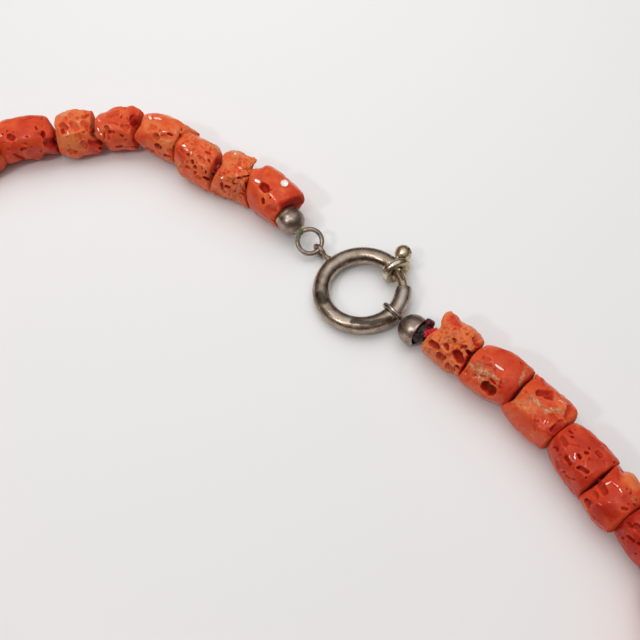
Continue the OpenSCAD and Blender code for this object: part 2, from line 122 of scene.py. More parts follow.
def coral_material():
    """Branch coral, drilled and tumbled: dense orange-red lime whose satin polish lets a little light in,
    chalky beige where the skin is worn through, and matt on its sawn ends; painted shade makes its hollows
    and sawn ends a deeper red"""
    material, tree, shader, place = new_material("tumbled_branch_coral")

    # Kept on each bead's vertices: how orange it is, how much painted shade it takes in a hollow or on a
    # sawn end, how worn and how polished
    tone, hollow, bare, shine = [
        add(tree, "Attribute", output="Fac", attribute_name=name)
        for name in ("tone", "hollow", "bare", "shine")
    ]

    # A scale is one over a size in millimetres. The growth is cloudy over 2.6 mm, with flecks of 0.5 mm.
    clouds = add(tree, "TexNoise", {"Vector": place, "Scale": 1 / 2.6, "Detail": 3.0})
    flecks = add(tree, "TexNoise", {"Vector": place, "Scale": 1 / 0.5, "Detail": 2.0})

    # The skin goes from deep red to orange, and on to a paler orange where its tone is highest
    shade = add(tree, "Math", {VALUE: clouds, TIMES: 0.6, PLUS: tone}, **SUM)
    shade = add(tree, "Math", {VALUE: flecks, TIMES: 0.08, PLUS: shade}, **SUM)
    skin = add(tree, "ValToRGB", {0: shade}, stops=[
        (0.4, "ac2616"), (0.65, "cb4224"), (0.85, "d95a30"), (1.0, "dd7442"),
    ])
    pale = add(tree, "MapRange", {"Value": shade, "From Min": 1.0, "From Max": 1.4, "To Max": 0.5})
    skin = add(tree, "Mix", {SHARE: pale, UNDER: skin, OVER: linear("dc8c4c")}, **BLEND)

    # Worn patches show the chalky coral in ragged spots of 1.3 mm, and hollows and sawn ends darken with
    # painted shade
    crust = add(tree, "TexNoise", {"Vector": place, "Scale": 1 / 1.3, "Detail": 4.0, "Distortion": 1.6})
    chalk = add(tree, "ValToRGB", {0: crust}, stops=[(0.35, "a2603a"), (0.5, "be8458"), (0.66, "dcba90")])
    worn = add(tree, "Math", {VALUE: crust, TIMES: 1.3, PLUS: bare}, **SUM)
    worn = add(tree, "MapRange", {"Value": worn, "From Min": 0.9, "From Max": 1.6, "To Max": 0.7})
    skin = add(tree, "Mix", {SHARE: worn, UNDER: skin, OVER: chalk}, **BLEND)
    depth = add(tree, "ValToRGB", {0: hollow}, stops=[(0.05, 0.0), (0.4, 0.5), (1.0, 0.9)])
    # Painted shade: deep red in a hollow or on a sawn end, brown where the skin there is worn
    painted_hollow_shade = add(tree, "Mix", {SHARE: bare, UNDER: linear("a81c10"), OVER: linear("824628")}, **BLEND)
    skin = add(tree, "Mix", {SHARE: depth, UNDER: skin, OVER: painted_hollow_shade}, **BLEND)

    # The polish comes in patches of 1.4 mm. Shine is 1 on a polished spot and below zero on a sawn end,
    # which is matt. The skin's own pores are 0.45 mm apart.
    patches = add(tree, "TexNoise", {"Vector": place, "Scale": 1 / 1.4, "Detail": 2.0})
    roughness = add(tree, "ValToRGB", {0: patches}, stops=[(0.38, 0.1), (0.62, 0.26)])
    roughness = add(tree, "Math", {VALUE: shine, TIMES: -0.2, PLUS: roughness}, **SUM)
    roughness = add(tree, "Math", {0: roughness, 1: 0.1}, operation="MAXIMUM")
    roughness = add(tree, "Math", {VALUE: hollow, TIMES: 0.35, PLUS: roughness}, use_clamp=True, **SUM)
    pores = add(tree, "TexVoronoi", {"Vector": place, "Scale": 1 / 0.45}, feature="SMOOTH_F1")
    relief = add(tree, "Math", {VALUE: pores, TIMES: 0.35, PLUS: flecks}, **SUM)
    matt = add(tree, "Math", {VALUE: shine, TIMES: -0.12, PLUS: 0.12}, use_clamp=True, **SUM)
    feed(tree, shader, {
        "Base Color": skin,
        "Roughness": roughness,
        "Normal": add(tree, "Bump", {"Height": relief, "Strength": matt, "Distance": 0.03 * MM}),
        "Specular IOR Level": 0.19,
        "Subsurface Weight": 0.7,
        "Subsurface Radius": (1.0, 0.25, 0.1),
        "Subsurface Scale": 1.6 * MM,
    })
    return material


def calcite_material():
    """A plug of white calcite that filled a hole of the coral branch: chalky, with a soft polish"""
    material, tree, shader, place = new_material("white_calcite_plug")

    # The real grains are too fine to show, so the grit is drawn 0.3 mm wide
    grit = add(tree, "TexNoise", {"Vector": place, "Scale": 1 / 0.3, "Detail": 3.0})
    feed(tree, shader, {
        "Base Color": add(tree, "ValToRGB", {0: grit}, stops=[(0.35, "e3d8cf"), (0.6, "fbf6f1")]),
        "Roughness": 0.35,
        "Normal": add(tree, "Bump", {"Height": grit, "Strength": 0.3, "Distance": 0.03 * MM}),
    })
    return material


def metal_material(name, colours, roughness):
    """Low-grade silver or brass, worn by years on the skin and never cleaned: warm brown-grey and cloudy,
    with brassy solder and green corrosion; paler where it is rubbed or a highlight is painted, and darker at
    stains and painted shade or dark reflections"""
    material, tree, shader, place = new_material(name)

    # Kept on each metal piece's vertices: how much of each mark there is
    brass, rubbed_and_highlight, dark, green = [
        add(tree, "Attribute", output="Fac", attribute_name=mark)
        for mark in ("brass", "rubbed_and_highlight", "dark", "green")
    ]

    # The tarnish is cloudy over 1.8 mm. Real scratches are too fine to show, so they are drawn 0.25 mm wide.
    clouds = add(tree, "TexNoise", {"Vector": place, "Scale": 1 / 1.8, "Detail": 5.0, "Roughness": 0.6})
    fine = add(tree, "TexNoise", {"Vector": place, "Scale": 1 / 0.25, "Detail": 2.0})
    mottle = add(tree, "Math", {VALUE: fine, TIMES: 0.3, PLUS: clouds}, **SUM)
    colour = add(tree, "ValToRGB", {0: mottle}, stops=list(zip((0.45, 0.65, 0.85), colours)))
    solder = add(tree, "ValToRGB", {0: mottle}, stops=list(zip((0.5, 0.65, 0.8), SOLDER)))
    verdigris = add(tree, "ValToRGB", {0: fine}, stops=[(0.35, "2a3a1c"), (0.6, "5c7044"), (0.8, "93a070")])
    # Marks: brass solder; the pale mark for rubbed metal and painted highlights; dark for stains, painted
    # shade and painted dark reflections; green verdigris
    marks = [(brass, solder), (rubbed_and_highlight, linear("ece4da")), (dark, linear("40362d")), (green, verdigris)]
    for share, over in marks:
        colour = add(tree, "Mix", {SHARE: share, UNDER: colour, OVER: over}, **BLEND)
    dull = add(tree, "Math", {VALUE: clouds, TIMES: 0.22, PLUS: roughness}, **SUM)
    dents = add(tree, "Math", {VALUE: clouds, TIMES: 3.0, PLUS: fine}, **SUM)
    feed(tree, shader, {
        "Base Color": colour,
        "Roughness": add(tree, "Math", {VALUE: green, TIMES: 0.5, PLUS: dull}, **SUM),
        "Metallic": add(tree, "Math", {VALUE: green, TIMES: -1.0, PLUS: 1.0}, **SUM),
        "Normal": add(tree, "Bump", {"Height": dents, "Strength": 0.25, "Distance": 0.006 * MM}),
    })
    return material


def cotton_material(name, dark, light, roughness):
    """Twisted cotton: matt, with fine fibres that catch the light, and smoother where it is waxed"""
    material, tree, shader, place = new_material(name)

    # Cotton fibres are about 0.02 mm thick, too fine to show, so they are drawn 0.15 mm wide
    fibres = add(tree, "TexNoise", {"Vector": place, "Scale": 1 / 0.15, "Detail": 2.0})
    feed(tree, shader, {
        "Base Color": add(tree, "ValToRGB", {0: fibres}, stops=[(0.3, dark), (0.7, light)]),
        "Roughness": roughness,
        "Normal": add(tree, "Bump", {"Height": fibres, "Strength": 0.6, "Distance": 0.05 * MM}),
    })
    return material


def only(piece):
    """Deselects all, then selects and activates one piece"""
    bpy.ops.object.select_all(action="DESELECT")
    piece.select_set(True)
    bpy.context.view_layer.objects.active = piece


def modify(piece, kind, **settings):
    """Adds a modifier and applies it at once"""
    only(piece)
    modifier = piece.modifiers.new(kind.lower(), kind)
    for name, value in settings.items():
        setattr(modifier, name, value)
    bpy.ops.object.modifier_apply(modifier=modifier.name)


def merged_copy(node_name, piece_name):
    """A copy of a CAD node with its own mesh, its loose triangles merged"""
    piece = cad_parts[node_name].copy()
    piece.data = piece.data.copy()
    piece.name = piece_name
    piece.parent = None
    for key in list(piece.keys()):
        del piece[key]
    bpy.context.scene.collection.objects.link(piece)
    only(piece)
    bpy.ops.object.mode_set(mode="EDIT")
    bpy.ops.mesh.select_all(action="SELECT")
    bpy.ops.mesh.remove_doubles(threshold=0.002 * MM)
    bpy.ops.object.mode_set(mode="OBJECT")
    return piece


def finish_piece(piece, material, slot, body, *nodes):
    """Shades a piece smooth, gives it its material, and hands it to its body"""
    piece.data.materials.clear()
    piece.data.materials.append(material)
    only(piece)
    bpy.ops.object.shade_smooth()
    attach(piece, body)
    if nodes:
        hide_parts(*nodes)


def vertices_of(piece):
    """Places and normals of a piece's vertices, in metres"""
    count = len(piece.data.vertices)
    places = np.empty(count * 3, np.float32)
    normals = np.empty(count * 3, np.float32)
    piece.data.vertices.foreach_get("co", places)
    piece.data.vertex_normals.foreach_get("vector", normals)
    return places.reshape(-1, 3).astype(float), normals.reshape(-1, 3).astype(float)


def reshape(piece, places):
    """Puts a piece's vertices at new places"""
    piece.data.vertices.foreach_set("co", places.astype(np.float32).ravel())
    piece.data.update()


def store(piece, **numbers):
    """Keeps numbers on a piece's vertices for its material to read, none beyond 4 or -4"""
    for name, values in numbers.items():
        attribute = piece.data.attributes.new(name, "FLOAT", "POINT")
        attribute.data.foreach_set("value", np.clip(values, -4, 4).astype(np.float32))


def push_out(places, normals, rise_mm):
    """Moves vertices out along their normals, each by its own rise in millimetres"""
    places += normals * (rise_mm * MM)[:, None]


def above_table(places):
    """Lifts vertices that lie below the table onto it"""
    places[:, 2] = np.maximum(places[:, 2], 0)


def camera_depth(places):
    """How far points of the frame lie in front of the camera"""
    return -((places - CAMERA_PLACE) @ CAMERA_BACK)


def to_photo(places):
    """Where points of the frame lie in the photograph, in its pixels"""
    seen = places - CAMERA_PLACE
    depth = camera_depth(places)
    return np.column_stack([
        PHOTO_SIZE / 2 + FOCAL_PX * (seen @ CAMERA_RIGHT) / depth,
        PHOTO_SIZE / 2 - FOCAL_PX * (seen @ CAMERA_UP) / depth,
    ])


def from_photo(x, y, height_mm):
    """The point at a height above the table that the photograph shows at x, y"""
    ray = CAMERA_RIGHT * (x - PHOTO_SIZE / 2) - CAMERA_UP * (y - PHOTO_SIZE / 2) - CAMERA_BACK * FOCAL_PX
    return CAMERA_PLACE + ray * (height_mm * MM - CAMERA_PLACE[2]) / ray[2]


def smooth_step(low, high, value):
    """0 at low, 1 at high, and a soft change between the two"""
    share = np.clip((value - low) / (high - low), 0, 1)
    return share * share * (3 - 2 * share)


def facing_camera(places, normals):
    """1 where the photograph can show a surface, 0 where it faces away"""
    toward = CAMERA_PLACE - places
    toward /= np.linalg.norm(toward, axis=1)[:, None]
    return smooth_step(-0.1, 0.15, (normals * toward).sum(1))


def clouds_on(places, size_mm, seed):
    """Noise from -1 to 1 at each place, its blobs about size_mm across"""
    scale = 1 / (size_mm * MM)
    shift = Vector((seed * 17.3, seed * 5.1, seed * 9.7))
    return np.array([noise.noise(Vector(p) * scale + shift) for p in places])


def net_on(places, size_mm, seed):
    """A net over a surface, its meshes about size_mm wide: 0 on its threads, higher inside its meshes"""
    scale = 1 / (size_mm * MM)
    shift = Vector((seed * 3.7, seed * 8.3, seed * 1.9))
    reach = np.array([noise.voronoi(Vector(p) * scale + shift)[0][:2] for p in places])
    return reach[:, 1] - reach[:, 0]


def row_distance(points, row):
    """Distance of each point from the line that a chart row starts with, in the row's half widths"""
    x, y, to_x, to_y, half_width, *_ = row
    start = np.array([x, y])
    along = np.array([to_x, to_y]) - start
    share = np.clip((points - start) @ along / max(along @ along, 1e-9), 0, 1)
    return np.linalg.norm(points - start - share[:, None] * along, axis=1) / half_width


def bowl(near, steep):
    """How deep a hollow is at a share of its half width, from 1 in its middle to 0 at its rim"""
    return np.clip(1 - near ** 2, 0, 1) ** (1.7 - 1.2 * steep)


def sink(places, normals, weight, depth_mm):
    """Pushes vertices in along the mean normal of the place that weight marks"""
    axis = (normals * weight[:, None]).sum(0)
    places -= axis / np.linalg.norm(axis) * (weight * depth_mm * MM)[:, None]


# The beads, by node number. A row of each chart starts with x, y to x, y in the photograph's pixels and a
# half width in pixels. HOLLOWS goes on with depth in millimetres (less than zero stands proud) and
# steepness of the sides from 0 to 1.
HOLLOWS = {
    1: [
        (263.3, 186.2, 265.3, 188.3, 4.5, 0.9, 0.9), (262.3, 199.8, 262.7, 202.6, 2.3, 0.9, 0.9),
        (269.8, 197.5, 269.8, 197.5, 1.1, 0.5, 0.9), (279.3, 178.6, 279.3, 178.6, 0.9, 0.3, 0.8),
        (268.5, 209, 274, 210.5, 4.6, 0.3, 0.4), (272, 220, 275, 221, 1.3, 0.25, 0.6),
        (277, 193, 282, 197, 4.5, 0.2, 0.2), (255.8, 181, 257.5, 181.5, 2.6, 0.2, 0.5),
        (269.5, 193, 276, 200.5, 1.0, -0.12, 0.3),
    ],
    2: [
        (233.5, 184, 233.5, 184, 1.5, 0.8, 0.9), (225.8, 187, 228.4, 187.8, 1.9, 0.7, 0.9),
        (220.8, 184.5, 221.8, 190, 1.6, 0.5, 0.7), (221.5, 189, 224.5, 193, 1.0, 0.4, 0.6),
        (228, 179, 233, 181, 1.9, 0.35, 0.5), (225.5, 181.5, 226.5, 182, 1.2, 0.3, 0.6),
        (237.6, 178.2, 241.5, 178.6, 1.7, 0.45, 0.7), (243.5, 177.3, 250, 175.5, 1.4, 0.5, 0.7),
        (240, 165, 240, 165, 1.7, 0.35, 0.5), (247, 168, 249.5, 173, 1.1, 0.4, 0.6),
        (227.5, 171.5, 227.5, 171.5, 0.9, 0.3, 0.7), (233, 163.5, 233, 163.5, 0.8, 0.3, 0.7),
        (223.5, 172.6, 223.5, 172.6, 0.8, 0.3, 0.7), (240, 193.3, 244, 194.5, 1.1, 0.35, 0.6),
        (235, 190, 235.3, 192, 1.0, 0.3, 0.6), (229.5, 196.3, 229.5, 196.3, 1.3, 0.3, 0.6),
        (242, 187, 244, 191, 1.6, 0.2, 0.4), (254, 158.5, 255, 160.5, 2.2, -0.15, 0.3),
        (239.5, 167.2, 241.5, 168.6, 1.0, -0.15, 0.3), (236.7, 173.3, 236.7, 176, 0.9, -0.12, 0.3),
        (236, 166, 239, 164, 2.2, 0.25, 0.4), (246, 183, 247.5, 187, 1.5, 0.35, 0.6),
    ],
    3: [
        (194.6, 167.2, 194.6, 167.2, 2.1, 0.9, 0.9), (191.3, 160.8, 191.8, 163.5, 1.5, 0.6, 0.9),
        (204.5, 178, 208, 179.8, 1.8, 0.7, 0.85), (185.5, 167, 188.5, 168.2, 1.3, 0.4, 0.7),
        (195, 173, 195, 173, 2.2, 0.4, 0.6), (201, 158.5, 202.5, 161, 3.3, 0.35, 0.4),
        (206, 151.5, 209.5, 153.5, 1.3, 0.45, 0.7), (208.3, 159.5, 209.6, 162, 1.2, 0.4, 0.7),
        (210.2, 147.5, 210.9, 149.8, 1.0, 0.35, 0.7), (187, 154.8, 188.3, 155, 1.6, 0.45, 0.7),
        (191.3, 155.8, 191.3, 155.8, 1.0, 0.35, 0.7), (193.8, 148.6, 193.8, 148.6, 0.9, 0.3, 0.7),
        (196.3, 163, 196.3, 163, 1.0, 0.3, 0.6), (201, 167, 202, 169.5, 1.0, 0.35, 0.6),
        (180, 167, 180, 167, 1.1, 0.3, 0.6), (197, 177.5, 200, 179, 1.9, 0.3, 0.4),
        (205.7, 173, 205.7, 173, 1.4, 0.5, 0.8), (181, 150, 182, 152, 2.4, 0.2, 0.3),
        (213.3, 173.5, 214.6, 176.5, 1.5, 0.6, 0.7), (183.5, 145.2, 184.5, 146, 1.0, -0.15, 0.3),
        (185.2, 149.5, 186.5, 149.2, 1.2, -0.2, 0.3), (188.5, 152, 191, 154, 0.9, -0.12, 0.3),
        (205.5, 155.5, 206.5, 162, 0.9, -0.15, 0.3), (202, 146, 205, 147, 2.0, 0.15, 0.3),
        (186, 161, 187, 162, 1.6, 0.15, 0.4), (191, 137, 190.5, 145, 0.9, -0.12, 0.3),
        (195, 141, 197, 143, 2.6, 0.2, 0.4),
    ],
    4: [
        (152, 126.5, 154.5, 127.5, 3.4, 0.35, 0.5), (155.5, 135.8, 157, 138, 3.5, 0.4, 0.6),
        (156.5, 145.8, 159.5, 147.8, 2.5, 0.8, 0.9), (168, 133.5, 171.5, 134.8, 1.3, 0.6, 0.9),
        (161.5, 130.8, 166, 132, 1.0, -0.2, 0.3), (166, 132, 173.5, 133, 0.9, -0.15, 0.3),
        (160.3, 130.5, 160.3, 130.5, 1.6, 0.35, 0.6), (181.7, 129.3, 181.7, 129.6, 1.2, 0.45, 0.8),
        (180.3, 134.8, 180.7, 137, 1.7, 0.5, 0.7), (169.5, 128.7, 169.5, 128.7, 1.1, 0.25, 0.6),
        (174.2, 146.2, 173.5, 149, 1.2, 0.45, 0.7), (169, 151, 173, 151.5, 2.8, 0.25, 0.4),
        (164, 155.8, 170, 157.4, 1.4, 0.5, 0.8), (145, 148.2, 154, 152.5, 1.1, 0.4, 0.7),
        (163.5, 136, 166, 137.5, 3.6, 0.22, 0.3), (147.5, 129, 149, 130, 2.0, 0.2, 0.3),
        (155, 131.5, 158, 132, 1.2, -0.12, 0.3), (176, 131, 178, 133, 1.5, -0.1, 0.3),
    ],
    5: [
        (133.5, 118.5, 134.6, 124, 4.2, 0.6, 0.5), (134.8, 127, 135, 129.3, 1.3, 0.6, 0.7),
        (108, 115.6, 117.5, 112.3, 3.0, 0.28, 0.6), (121.2, 117, 121.2, 117, 1.2, 0.45, 0.8),
        (126.8, 121.7, 126.8, 121.7, 1.0, 0.35, 0.7), (124, 125.5, 126.5, 128, 4.3, 0.45, 0.4),
        (106.5, 127.5, 108, 133, 3.0, 0.5, 0.55), (109, 131.5, 113, 132.3, 2.1, 0.45, 0.55),
        (107.5, 136, 109.5, 139, 1.6, 0.35, 0.5), (120.8, 135.5, 123.2, 136.8, 1.2, 0.5, 0.8),
        (125.8, 140, 125.8, 140, 1.3, 0.25, 0.5), (133.2, 139.2, 133.4, 139.6, 1.2, 0.7, 0.9),
        (117, 147.4, 122, 147, 1.3, 0.45, 0.7), (127, 147.6, 136, 147, 1.1, 0.35, 0.6),
        (125, 106.5, 125, 107.5, 1.3, 0.45, 0.6), (128, 118, 129.5, 120, 2.0, 0.25, 0.4),
        (104, 133, 104, 138, 1.6, 0.35, 0.5), (98.5, 120.3, 99.8, 121.6, 1.0, -0.2, 0.3),
        (97.5, 127.5, 99, 130.5, 1.2, -0.2, 0.3), (101, 134, 101.5, 135, 1.1, -0.2, 0.3),
        (109.5, 127, 111.5, 128.2, 1.0, -0.15, 0.3), (109, 122.5, 118, 124.5, 1.5, 0.2, 0.4),
        (142, 111.8, 142.2, 114, 1.2, 0.3, 0.5),
    ],
    6: [
        (61.5, 125, 66, 127, 3.2, 0.55, 0.6), (62, 129.5, 63, 132.5, 2.4, 0.6, 0.6),
        (66, 118, 66, 118, 1.5, 0.3, 0.6), (70.3, 113.5, 70.5, 116, 2.4, 0.25, 0.4),
        (72.5, 124, 76, 128.5, 4.2, 0.35, 0.4), (82.5, 116.6, 88, 115, 2.0, 0.4, 0.6),
        (76.8, 117.5, 77.2, 117.5, 1.9, 0.3, 0.5), (84.5, 123, 89, 128, 4.3, 0.4, 0.45),
        (84, 132.5, 84, 132.5, 1.9, 0.3, 0.5), (78.5, 136.5, 82, 139, 4.4, 0.3, 0.4),
        (67, 137, 67, 137, 1.3, 0.25, 0.5), (80.5, 139.8, 80.5, 139.8, 1.1, 0.3, 0.6),
        (83, 144, 85, 147, 3.4, 0.35, 0.45), (91.5, 132.5, 94, 137, 2.8, 0.4, 0.4),
        (92, 142, 96, 143, 4.0, 0.35, 0.4), (98, 147.3, 98, 147.3, 4.4, -0.7, 0.5),
        (98, 147.3, 98, 147.3, 1.9, 0.9, 0.8), (68.5, 146.6, 68.5, 146.6, 1.0, 0.3, 0.6),
        (75, 153.3, 75, 153.3, 1.1, 0.35, 0.6), (86.5, 149.3, 86.5, 149.3, 1.0, 0.25, 0.6),
        (70, 151.5, 76, 153.5, 2.6, 0.35, 0.4), (67.8, 124.6, 69.2, 125.4, 1.0, -0.2, 0.3),
        (67.7, 132.5, 68.3, 134, 1.0, -0.2, 0.3), (77, 121, 79, 121.6, 1.0, -0.15, 0.3),
    ],
    7: [
        (43, 133.3, 43.5, 135.5, 2.7, 0.8, 0.8), (9.5, 136.8, 12.3, 138, 3.5, 0.55, 0.7),
        (35.8, 127, 36.8, 128.8, 1.1, 0.45, 0.8), (27, 136.5, 27.2, 136.5, 1.2, 0.35, 0.7),
        (25.8, 144.3, 25.8, 144.3, 1.2, 0.35, 0.7), (31.8, 147, 31.8, 147, 1.2, 0.35, 0.6),
        (22, 149.6, 25.5, 148.8, 1.7, 0.5, 0.7), (40.5, 151.3, 40.5, 151.3, 1.4, 0.3, 0.6),
        (48.5, 143, 53.5, 142, 5.6, 0.6, 0.4), (25, 118, 33, 117.5, 1.4, 0.25, 0.5),
        (42, 118.5, 42, 118.5, 1.8, 0.2, 0.4), (8.5, 149, 8.5, 149, 2.0, 0.3, 0.5),
        (4.3, 142.7, 4.3, 142.7, 1.0, 0.35, 0.7), (7, 131, 7, 131, 1.5, 0.3, 0.5),
        (13, 131.8, 13, 131.8, 1.3, 0.35, 0.6), (2, 133.8, 2, 133.8, 1.2, 0.4, 0.6),
        (16, 156, 24, 159.4, 1.4, 0.5, 0.7), (30, 152, 36, 155.5, 5.0, 0.22, 0.3),
        (14, 154.3, 17, 154, 1.3, 0.3, 0.5), (15.3, 139.7, 15.8, 140, 1.0, -0.15, 0.3),
        (9.5, 146, 13, 141.5, 1.0, -0.12, 0.3),
    ],
    8: [(0.5, 152.5, 0.5, 152.5, 2.6, 0.6, 0.7)],
    39: [
        (430.5, 343, 436.5, 347.5, 3.8, 0.85, 0.7), (445.3, 345.3, 447, 347, 2.7, 0.5, 0.7),
        (447, 349.6, 448, 349.6, 1.9, 0.45, 0.6), (453, 339.5, 454.5, 341.5, 1.5, 0.5, 0.8),
        (461.5, 346.8, 465.5, 346.3, 1.8, 0.5, 0.7), (438.5, 356.5, 441.5, 357.8, 4.1, 0.75, 0.75),
        (442.5, 360.3, 442.5, 360.3, 1.5, 0.3, 0.6), (456.3, 354, 459.8, 359.5, 4.9, 1.15, 0.8),
        (455.8, 367.6, 458, 368.3, 1.9, 0.8, 0.85), (447, 366.5, 452, 370.5, 3.2, 0.5, 0.7),
        (468, 333.8, 468, 333.8, 1.1, 0.5, 0.9), (453.2, 371.7, 453.2, 371.7, 0.9, 0.35, 0.7),
        (475, 339, 477.5, 344, 2.8, 0.6, 0.6), (468, 352, 471.5, 355, 2.8, 0.7, 0.6),
        (461, 338.6, 463, 339, 1.2, 0.25, 0.5), (440, 337.5, 440, 337.5, 0.9, 0.3, 0.6),
        (448, 337.8, 448, 337.8, 1.1, 0.3, 0.6), (464.5, 328.6, 467, 327, 1.2, 0.25, 0.5),
        (446, 327.5, 446, 327.5, 1.0, 0.3, 0.6), (439.3, 340, 439.3, 341.5, 1.0, 0.3, 0.6),
        (441.2, 343, 443.6, 351, 0.9, -0.2, 0.3), (449.3, 345, 451, 351, 1.0, -0.18, 0.3),
        (451, 326.3, 455, 328.5, 1.0, -0.12, 0.3), (432, 341, 441, 346.5, 0.8, -0.15, 0.3),
    ],
    38: [
        (485.6, 386.8, 491, 390.6, 5.4, 2.0, 0.85), (490.3, 379.5, 494.5, 383.5, 1.5, 0.5, 0.7),
        (475.5, 375.3, 475.5, 375.3, 1.0, 0.5, 0.9), (481, 375.6, 485, 376.3, 1.2, 0.3, 0.6),
        (466.5, 373, 468.5, 379, 3.8, 0.3, 0.4), (499.8, 387, 499.8, 387, 1.2, 0.4, 0.8),
        (500.3, 381.5, 501, 384, 1.1, 0.3, 0.6), (472.5, 386.5, 472.5, 386.5, 1.1, 0.3, 0.6),
        (509.5, 362.5, 509.5, 362.5, 1.0, 0.3, 0.6), (484.5, 357.5, 489, 359.5, 3.0, 0.22, 0.4),
        (494, 369, 495, 371, 1.1, 0.25, 0.5), (473.5, 370.5, 480, 371, 0.9, -0.18, 0.3),
        (480, 371, 493, 376.3, 0.9, -0.18, 0.3), (496, 378, 500.5, 379.5, 0.9, -0.15, 0.3),
        (469.5, 364.5, 473.5, 363.3, 0.9, -0.15, 0.3), (475, 358.5, 484, 363.5, 1.0, -0.12, 0.3),
        (521, 362, 526, 365.5, 1.0, 0.35, 0.6), (503, 401, 508, 402.5, 0.9, -0.12, 0.3),
        (477, 384, 478, 384.5, 1.0, 0.25, 0.5), (486, 365, 491, 367, 2.0, 0.15, 0.3),
    ],
    37: [
        (539, 391.8, 551, 393, 3.6, 0.75, 0.6), (547, 396.3, 551.5, 397, 3.5, 0.6, 0.6),
        (570.5, 408, 568.5, 417, 4.6, 0.45, 0.5), (561, 423, 554, 430, 4.2, 0.5, 0.5),
        (552.5, 416.5, 556.5, 421, 3.9, 0.28, 0.4), (534.5, 415, 535, 430, 2.0, 0.1, 0.3),
        (542, 424.5, 547, 418.5, 0.9, -0.18, 0.3), (532, 398, 539, 401, 1.2, -0.12, 0.3),
        (532, 399.5, 535, 403, 1.0, 0.2, 0.5), (541, 406, 545, 408, 1.2, 0.2, 0.5),
        (548, 412, 556, 412.5, 1.0, -0.15, 0.3), (555, 408, 561, 411, 1.0, -0.15, 0.3),
        (514, 402, 524, 404.5, 1.0, -0.12, 0.3), (565.5, 403, 566.5, 409, 1.2, -0.15, 0.3),
        (536, 377, 543, 380, 2.0, -0.3, 0.3), (525, 390, 529, 394, 1.4, 0.15, 0.4),
    ],
    36: [
        (554, 447.5, 556.5, 450.8, 1.7, 0.55, 0.8), (559.8, 455, 559.8, 455, 1.1, 0.45, 0.8),
        (565, 458, 569.5, 464.5, 2.4, 0.45, 0.55), (585.8, 452.4, 587.8, 452.6, 1.8, 0.6, 0.8),
        (589.8, 448.3, 589.8, 448.6, 1.1, 0.5, 0.9), (578, 467.8, 578.3, 467.8, 1.6, 0.6, 0.8),
        (580, 468, 587.5, 472, 2.3, 0.5, 0.7), (586, 477.5, 586, 477.5, 1.2, 0.6, 0.9),
        (573, 479, 574.5, 480, 1.1, 0.4, 0.7), (571.8, 436.2, 573, 436.8, 1.3, 0.5, 0.8),
        (569.5, 430.5, 572, 432.5, 1.2, 0.45, 0.7), (575.5, 429.3, 575.5, 429.3, 1.0, 0.4, 0.7),
        (578.5, 455, 580.5, 457.5, 1.7, 0.6, 0.8), (562, 438, 566, 443.5, 3.3, 0.3, 0.4),
        (569, 444, 580, 446.5, 0.9, 0.2, 0.5), (598, 452.5, 601, 455, 3.2, 0.35, 0.5),
        (589.5, 459, 590, 459, 1.3, 0.3, 0.5), (562.5, 473, 564, 472, 1.3, 0.4, 0.5),
        (565, 475, 571, 479.5, 1.1, 0.3, 0.5), (606, 463.5, 606, 464.5, 1.0, 0.3, 0.6),
        (614.3, 462, 614.8, 463, 1.4, 0.4, 0.6), (575, 452.5, 574.8, 459, 1.4, -0.2, 0.3),
        (584, 458.3, 584.6, 459, 1.1, -0.2, 0.3), (585.5, 461.5, 586, 462.5, 1.2, -0.2, 0.3),
        (590.5, 462, 591, 462.4, 1.1, -0.2, 0.3), (589, 456, 590, 457, 1.1, -0.2, 0.3),
        (557, 462, 559, 468, 2.4, 0.2, 0.4),
    ],
    35: [
        (601, 485.5, 604, 491, 4.3, 0.45, 0.6), (594, 493, 596.5, 496.3, 2.8, 0.35, 0.5),
        (586.3, 501.3, 588, 503, 3.3, 0.8, 0.75), (588, 507, 588, 507.5, 1.9, 0.3, 0.5),
        (623, 509, 627, 509.5, 2.1, 0.45, 0.6), (627.5, 489, 627.5, 489, 1.2, 0.35, 0.6),
        (630.8, 489, 630.8, 489, 1.0, 0.35, 0.6), (631.3, 492.8, 631.8, 493, 1.4, 0.4, 0.6),
        (629.5, 504, 629.5, 504, 1.2, 0.35, 0.6), (636.5, 500, 637, 501, 1.3, 0.4, 0.6),
        (606.5, 484.5, 612, 482.2, 1.3, -0.2, 0.3), (612, 482.2, 618, 486, 1.3, -0.2, 0.3),
        (618, 486, 621, 492, 1.3, -0.2, 0.3), (621, 492, 623.3, 496.5, 1.4, -0.2, 0.3),
        (596, 501.5, 602, 505.5, 0.9, -0.15, 0.3), (634, 504, 636, 506, 1.2, 0.3, 0.5),
        (622.5, 469.5, 623.5, 470.5, 1.8, 0.3, 0.4),
    ],
    34: [
        (627.5, 537.3, 633, 541, 2.3, 0.6, 0.7), (622.5, 537.8, 622.5, 537.8, 1.3, 0.45, 0.7),
        (637.5, 543.5, 640, 545, 1.8, 0.6, 0.7), (635.5, 553.5, 635.5, 553.5, 1.3, 0.3, 0.5),
        (636, 526, 640, 530, 4.0, 0.5, 0.5), (628, 524, 631, 527, 2.4, 0.4, 0.5),
    ],
}

